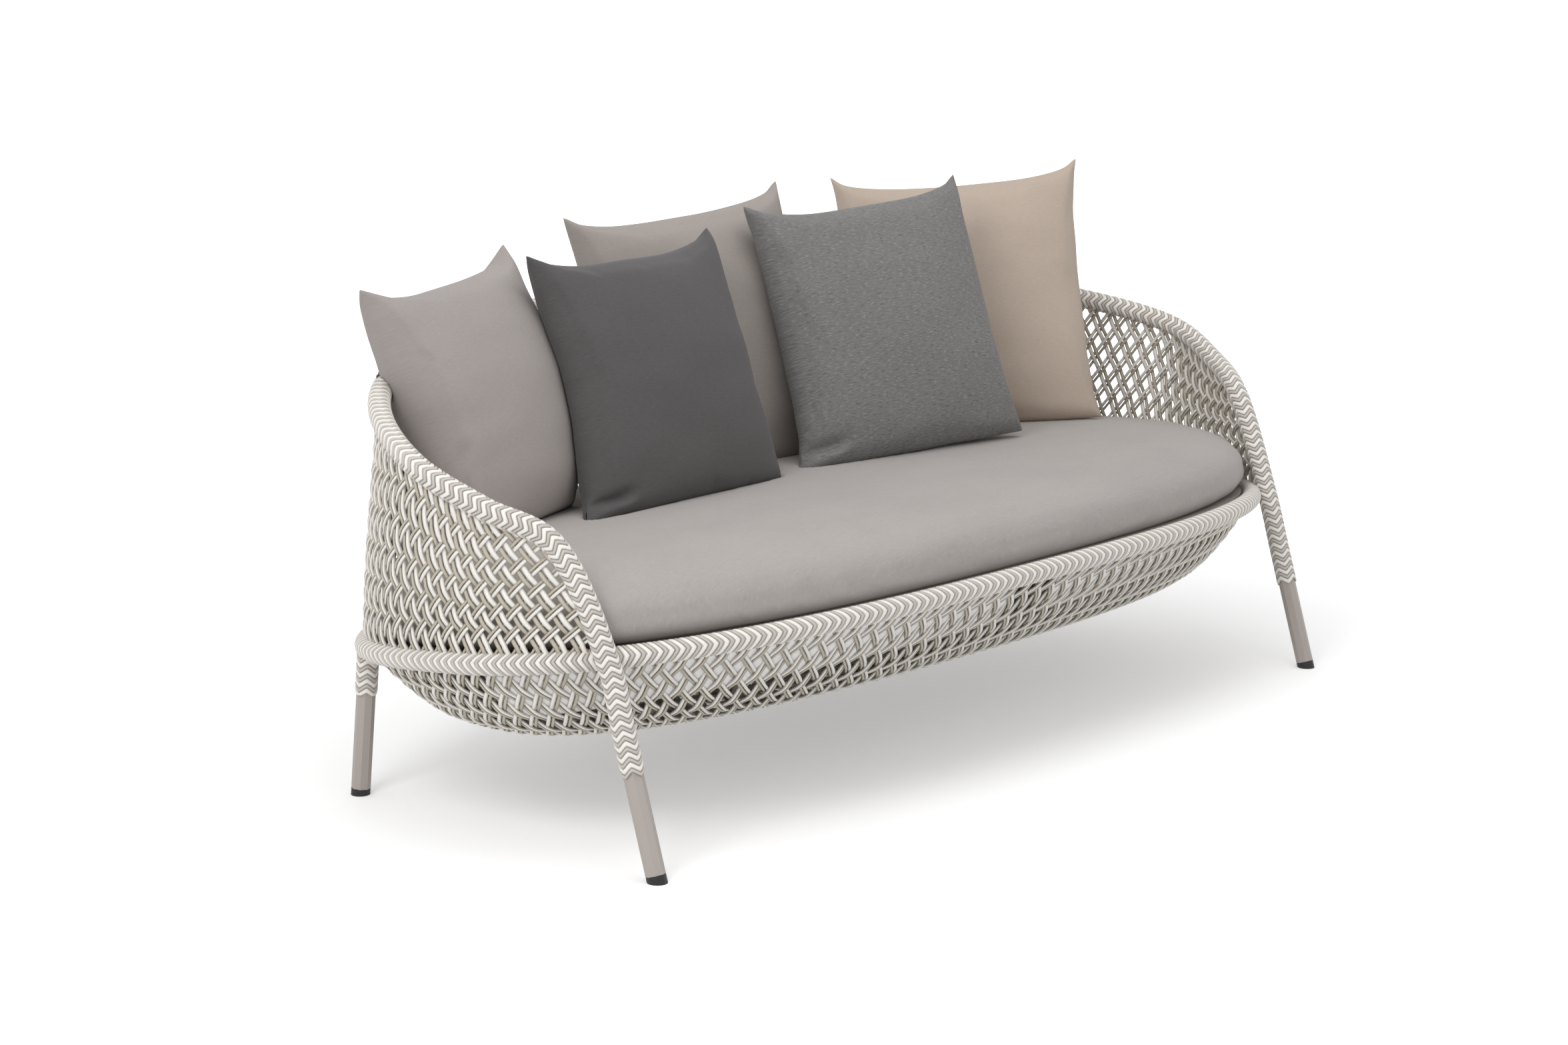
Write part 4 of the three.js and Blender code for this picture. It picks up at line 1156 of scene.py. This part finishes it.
# %% [markdown]
# ## The seat cushion
# The seat cushion is a long oval foam pad in a tight cover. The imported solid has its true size,
# but it is faceted. A copy is rebuilt in small cells, drawn out at its two ends until it reaches
# the ring, and blown up as cloth with pressure inside, so that the edge rolls and the top
# crowns. Left alone, the cloth would go on like a balloon, so a cap holds every point near
# where it started, and the underside stays flat, because it rests on the sling. At last the
# pad is kept off the tubes that it lies between.


# %% Cloth blown up from inside
def inflate(piece, pressure, frames, stiffness=15.0, bending=0.5, slack=0.0):
    """Runs Blender's cloth with pressure and no gravity, then applies it."""
    activate(piece)
    cloth = piece.modifiers.new("filling", "CLOTH")
    for key, value in {
        "quality": 6, "mass": 0.3, "air_damping": 2.0, "tension_stiffness": stiffness,
        "compression_stiffness": stiffness, "shear_stiffness": stiffness / 2,
        "bending_stiffness": bending, "use_pressure": True, "uniform_pressure_force": pressure,
        "shrink_min": -slack,
    }.items():
        setattr(cloth.settings, key, value)
    cloth.settings.effector_weights.gravity = 0
    cloth.point_cache.frame_start = 1
    cloth.point_cache.frame_end = frames
    for number in range(1, frames + 1):
        bpy.context.scene.frame_set(number)
    bpy.ops.object.modifier_apply(modifier=cloth.name)


def normals_of(piece):
    """The way out of the mesh at every point."""
    normals = np.empty(3 * len(piece.data.vertices), np.float32)
    piece.data.vertices.foreach_get("normal", normals)
    return normals.reshape(-1, 3).astype(float)


def filled(piece, cap, pressure, frames, **values):
    """Inflates a piece and holds every point within a cap of where it started."""
    start = read_points(piece)
    inflate(piece, pressure, frames, **values)
    moved = read_points(piece) - start
    reach = np.linalg.norm(moved, axis=1)
    moved *= (np.minimum(reach, cap) / np.maximum(reach, 1e-9))[:, None]
    return start, moved, float(reach.max())


# %% Keep a cushion off the tubes
MARK_STEP, BLOCK = 8, 512


def keep_off_line(points, line, radius):
    """Moves points out of a tube round a line, one block of them after the other."""
    marks = line.points[::MARK_STEP]
    for first in range(0, len(points), BLOCK):
        block = points[first:first + BLOCK]
        reach = np.linalg.norm(block[:, None] - marks[None], axis=2)
        nearest = marks[reach.argmin(axis=1)]
        distance = reach.min(axis=1)
        close = distance < radius
        grow = (radius / distance[close])[:, None]
        block[close] = nearest[close] + (block[close] - nearest[close]) * grow


# %% Fill the seat cushion
SEAT_CELL = 0.013
SEAT_DRAW_IN = 0.003
SEAT_SWELL_CAP = 0.010
SEAT_PRESSURE, SEAT_FRAMES = 4.0, 20
SEAT_END_REACH, END_FROM, END_TO = 0.018, 0.60, 0.95
UNDERSIDE_FADE = 0.8
TUBE_ROOM = 0.001

deselect()
seat = nodes["seat_cushion"].copy()
seat.data = seat.data.copy()
seat.parent = None
for key in list(seat.keys()):
    del seat[key]
bpy.context.scene.collection.objects.link(seat)
seat.name = seat.data.name = "seat_pad"
merge_ends(seat, 0.0002)
apply_modifier(seat, "REMESH", mode="VOXEL", voxel_size=SEAT_CELL)
apply_modifier(seat, "SMOOTH", factor=0.5, iterations=6)
start = read_points(seat)
start_normals = normals_of(seat)
free = 1 - smooth_step(-start_normals[:, 2:], 0.0, UNDERSIDE_FADE)
start -= start_normals * SEAT_DRAW_IN * free
x = start[:, 0]
start[:, 0] += SEAT_END_REACH * np.sign(x) * smooth_step(np.abs(x), END_FROM, END_TO)
write_points(seat, start)
start, moved, reach = filled(seat, SEAT_SWELL_CAP, SEAT_PRESSURE, SEAT_FRAMES)
start += moved * free
for line, radius in ((rim, FRAME_TUBE), (ring, RING_TUBE)):
    keep_off_line(start, line, radius + WRAP_HEIGHT + TUBE_ROOM)
write_points(seat, start)
apply_modifier(seat, "SUBSURF", levels=1, render_levels=1)
seat.data.materials.clear()
seat.data.materials.append(cloth_material("seat_cloth", *SEAT_COLOUR, on_map=False))
bpy.ops.object.shade_smooth()
print("seat pad moved by up to", round(reach, 4), "m")
finish_piece(seat, "seat_fabric", "seat_cushion")

# %% [markdown]
# ## The scatter cushions
# A scatter cushion is two squares of cloth sewn together at the edge and stuffed. The stuffing
# draws the edges in between the corners, so the corners end as points. A square that is only
# blown up gets round corners, so the two sheets are laid out in the drawn-in form first. A
# short cloth simulation with pressure inside then lets the cover find its own tension, and a
# soft noise adds low puckers. Two of the cushions have a tuck over one lower corner.

# %% A tuck at a corner
FOLD_PLACE, FOLD_SLOPE = -0.84, 0.10
GROOVE_DEPTH, GROOVE_WIDTH = 0.030, 0.036
RIDGE_HEIGHT, RIDGE_WIDTH, RIDGE_BELOW = 0.016, 0.05, 0.085


def corner_fold(u, v):
    """A tuck over the lower left corner, where the cover is full: a groove, a ridge below it."""
    above = v - FOLD_PLACE - FOLD_SLOPE * (1 + u)
    groove = GROOVE_DEPTH * np.exp(-((above / GROOVE_WIDTH) ** 2))
    ridge = RIDGE_HEIGHT * np.exp(-(((above + RIDGE_BELOW) / RIDGE_WIDTH) ** 2))
    return smooth_step(-u, 0.60, 0.80) * (ridge - groove)


# %% Sew a cover
CUSHION_SIDE = 0.492
COVER_CELLS = 56
TOP_DRAW, SIDE_DRAW, DRAW_POWER = 0.032, 0.016, 3.4
SWELL_POWER, FOLD_POWER = 0.46, 0.25


def sewn_cover(name, side, thickness, drop=0, spread=(0, 0), right_in=0, right_draw=0, fold=0):
    """Two sheets that share their edge, plumped up, each with a map in metres.

    The bottom can hang lower by drop and stand wider by spread; the right side can stand
    further in, and be drawn in more between its corners.
    """
    deselect()
    bpy.ops.mesh.primitive_grid_add(x_subdivisions=COVER_CELLS, y_subdivisions=COVER_CELLS, size=side)
    cover = bpy.context.object
    cover.name = cover.data.name = name
    bpy.ops.object.mode_set(mode="EDIT")
    bpy.ops.mesh.select_all(action="SELECT")
    bpy.ops.mesh.duplicate()
    bpy.ops.mesh.flip_normals()
    bpy.ops.object.mode_set(mode="OBJECT")
    points = read_points(cover)
    u, v = 2 * points[:, 0] / side, 2 * points[:, 1] / side
    room_u, room_v = np.clip(1 - u**2, 0, 1), np.clip(1 - v**2, 0, 1)
    front = np.arange(len(points)) < len(points) // 2
    swell = thickness / 2 * (room_u * room_v) ** SWELL_POWER
    right, left, high, low = (np.clip(way, 0, 1) for way in (u, -u, v, -v))
    side_draw = (SIDE_DRAW + right_draw * (u > 0)) * (1 - np.abs(v) ** DRAW_POWER)
    points[:, 0] -= side_draw * u * np.abs(u)
    points[:, 0] += low * (spread[1] * right - spread[0] * left) - right_in * right
    points[:, 1] -= TOP_DRAW * (1 - np.abs(u) ** DRAW_POWER) * high**2 + drop * low
    tuck = fold * corner_fold(u, v) * (room_u * room_v) ** FOLD_POWER
    points[:, 2] = np.where(front, swell + tuck, -swell)
    write_points(cover, points)
    merge_ends(cover, 0.0001)
    uv = cover.data.uv_layers[0].data
    flat = np.empty(2 * len(uv), np.float32)
    uv.foreach_get("uv", flat)
    uv.foreach_set("uv", flat * side)
    return cover


# %% Fill a cover
COVER_SLACK = 0.012
COVER_MOVE_CAP = 0.007
COVER_PRESSURE, COVER_FRAMES, COVER_BENDING = 3.0, 14, 0.35
PUCKER = 0.0022
PUCKER_GRAIN = (9, 17, 9)


def fill_cover(cover):
    """A short run of cloth with pressure inside; no point moves further than the cap."""
    start, moved, reach = filled(cover, COVER_MOVE_CAP, COVER_PRESSURE, COVER_FRAMES,
        bending=COVER_BENDING, slack=COVER_SLACK)
    write_points(cover, start + moved)
    return reach


def pucker(cover, seed):
    """Low soft folds all over the cloth, so that it isn't as smooth as a balloon."""
    points, normals = read_points(cover), normals_of(cover)
    heights = [noise.noise(Vector(point * PUCKER_GRAIN) + Vector((seed, 0, 0))) for point in points]
    write_points(cover, points + normals * np.array(heights)[:, None] * PUCKER)


# %% [markdown]
# ## How cushions press on each other
# Soft cushions give way where they touch, and lie against each other without a gap. A second
# simulation of all five could show that, but it is slow and hard to steer. Here each cushion is
# placed in turn. Points that would be inside something that is already there are moved just off
# its surface, and their neighbours are evened out, so that no crease is left.

# %% Find and press what is inside a neighbour
SEARCH_REACH = 0.12
RAY_WAY = Vector((0.31, 0.17, 0.935)).normalized()
RAY_STEP, MOST_CROSSINGS = 1e-5, 12


def tree_of(piece):
    """A search tree of a piece's faces, with the piece's lowest and highest corner."""
    points = read_points(piece)
    faces = [face.vertices for face in piece.data.polygons]
    tree = BVHTree.FromPolygons([vertex.co for vertex in piece.data.vertices], faces)
    return tree, points.min(axis=0), points.max(axis=0)


def is_inside(tree, point):
    """A line from a point inside a closed shape crosses the shape an odd number of times."""
    crossings, start = 0, Vector(point)
    while crossings < MOST_CROSSINGS:
        hit = tree.ray_cast(start, RAY_WAY)[0]
        if hit is None:
            break
        crossings += 1
        start = hit + RAY_WAY * RAY_STEP
    return crossings % 2 == 1


def press(points, trees, gap):
    """Moves the points that are inside a neighbour just off its surface."""
    pressed = np.zeros(len(points), bool)
    for tree, low, high in trees:
        close = np.all((points > low - gap) & (points < high + gap), axis=1)
        for index in np.flatnonzero(close):
            point = points[index]
            near, _, _, distance = tree.find_nearest(Vector(point), SEARCH_REACH)
            if near is None:
                continue
            inside = is_inside(tree, point)
            if inside or distance < gap:
                way = (near - Vector(point)) * (1 if inside else -1)
                if way.length > 1e-7:
                    points[index] = near + way.normalized() * gap
                pressed[index] = True
    return pressed


def smooth_near(piece, points, chosen, rounds=3, widen=2):
    """Evens out the chosen points and those near them, so that no crease is left."""
    edges = np.empty(2 * len(piece.data.edges), np.int32)
    piece.data.edges.foreach_get("vertices", edges)
    a, b = edges.reshape(-1, 2).T
    count = np.bincount(np.concatenate([a, b]), minlength=len(points))[:, None]
    weight = chosen.astype(float)
    for _ in range(widen):
        spread = np.maximum(np.bincount(a, weight[b], len(points)), np.bincount(b, weight[a], len(points)))
        weight = np.maximum(weight, np.minimum(spread, 1) * 0.5)
    for _ in range(rounds):
        total = np.zeros_like(points)
        np.add.at(total, a, points[b])
        np.add.at(total, b, points[a])
        points += (total / count - points) * 0.5 * weight[:, None]
    return points


# %% Where the five cushions lie
# Each row gives the side as a share of a full cover, the place as shares of the ring's half
# length, its half depth and the rim's height, the turn, lean and roll in degrees, and the form.
CUSHIONS = {
    "taupe_left": (0.947, (-0.6456, 0.5191, 0.8711), 12.3, 22.5, 3.7,
        {"thickness": 0.185, "right_in": 0.027, "right_draw": 0.028, "spread": (0, -0.100)}),
    "charcoal": (0.955, (-0.3330, 0.3258, 0.8886), 1.2, 20.0, 0.7,
        {"thickness": 0.160, "drop": 0.012, "spread": (0.026, 0.008), "fold": 1.0}),
    "grey_back": (1.032, (-0.0306, 0.7011, 0.9074), -9.4, 15.6, 4.0,
        {"thickness": 0.150, "drop": 0.028}),
    "melange": (1.010, (0.2574, 0.2787, 0.9300), -14.7, 20.1, 3.8,
        {"thickness": 0.160, "drop": 0.017, "spread": (0.016, 0.004), "fold": 1.0}),
    "sand_right": (1.018, (0.6302, 0.5124, 0.9235), -43.8, 13.3, 4.0,
        {"thickness": 0.140, "drop": 0.018, "spread": (0, 0.006)}),
}
SLOTS = {"taupe_left": "taupe", "grey_back": "grey", "sand_right": "sand"}
print("cushions:", {name: round(CUSHION_SIDE * row[0], 3) for name, row in CUSHIONS.items()})

# %% The bed that they sink into
CUSHION_SINK = 0.018
FACES_UP = 0.3

obstacles = [tree_of(nodes[name]) for name in ("wall_weave", "back_upright_1", "back_upright_2",
    "back_upright_3", "back_upright_4")]
seat_bed = read_points(seat)
top_side = normals_of(seat)[:, 2] > FACES_UP
seat_bed[:, 2] -= np.where(top_side, CUSHION_SINK, 0)
write_points(seat, seat_bed)
obstacles.append(tree_of(seat))
seat_bed[:, 2] += np.where(top_side, CUSHION_SINK, 0)
print("the bed lies", CUSHION_SINK, "m lower than the seat's top")

# %% Fill, place and press the cushions
SKIN_GAP = 0.0015
PRESS_ROUNDS = 2


def turned(yaw, lean, roll):
    """Turns a cover that lies flat until it stands and leans; degrees."""
    turn = Matrix.Rotation(math.radians(yaw), 3, "Z") @ Matrix.Rotation(math.radians(-lean), 3, "X")
    return turn @ Matrix.Rotation(math.radians(-roll), 3, "Y") @ Matrix.Rotation(math.pi / 2, 3, "X")


for name, (size, place, yaw, lean, roll, form) in CUSHIONS.items():
    cushion = sewn_cover(f"cushion_{name}", CUSHION_SIDE * size, **form)
    moved = fill_cover(cushion)
    apply_modifier(cushion, "SUBSURF", levels=1, render_levels=1)
    pucker(cushion, 10 * place[0])
    points = read_points(cushion) @ np.array(turned(yaw, lean, roll)).T
    points += np.array(place) * (RING_HALF_LENGTH, RING_HALF_DEPTH, RIM_HEIGHT)
    for _ in range(PRESS_ROUNDS):
        pressed = press(points, obstacles, SKIN_GAP)
        keep_off_line(points, rim, FRAME_TUBE + WRAP_HEIGHT + SKIN_GAP)
        points = smooth_near(cushion, points, pressed)
    press(points, obstacles, SKIN_GAP)
    write_points(cushion, points)
    obstacles.append(tree_of(cushion))
    cushion.data.materials.append(cloth_material(f"{name}_cloth", *COVER_COLOURS[name]))
    bpy.ops.object.shade_smooth()
    print(f"{name}: the cover moved by up to {moved:.4f} m, {int(pressed.sum())} points pressed")
    finish_piece(cushion, SLOTS.get(name, name) + "_fabric", f"scatter_cushion_{name}")

# %% [markdown]
# ## The dents in the seat
# The cushions went down into a bed that lies lower than the seat's top, so the foam has to give
# way under them. A line is sent up from below each point of the seat's top, and where it meets
# the underside of a cushion, the point is moved there.

# %% Dent the seat under the cushions
DENT_REACH, DENT_GAP = 0.08, 0.001

dented = np.zeros(len(seat_bed), bool)
for tree, low, high in obstacles[-len(CUSHIONS):]:
    under = top_side & np.all((seat_bed[:, :2] > low[:2]) & (seat_bed[:, :2] < high[:2]), axis=1)
    for index in np.flatnonzero(under):
        x, y, z = seat_bed[index]
        hit = tree.ray_cast(Vector((x, y, z - DENT_REACH)), Vector((0, 0, 1)), DENT_REACH)[0]
        if hit is not None:
            seat_bed[index, 2] = hit.z - DENT_GAP
            dented[index] = True
write_points(seat, smooth_near(seat, seat_bed, dented, rounds=2))
print("seat points dented:", int(dented.sum()))
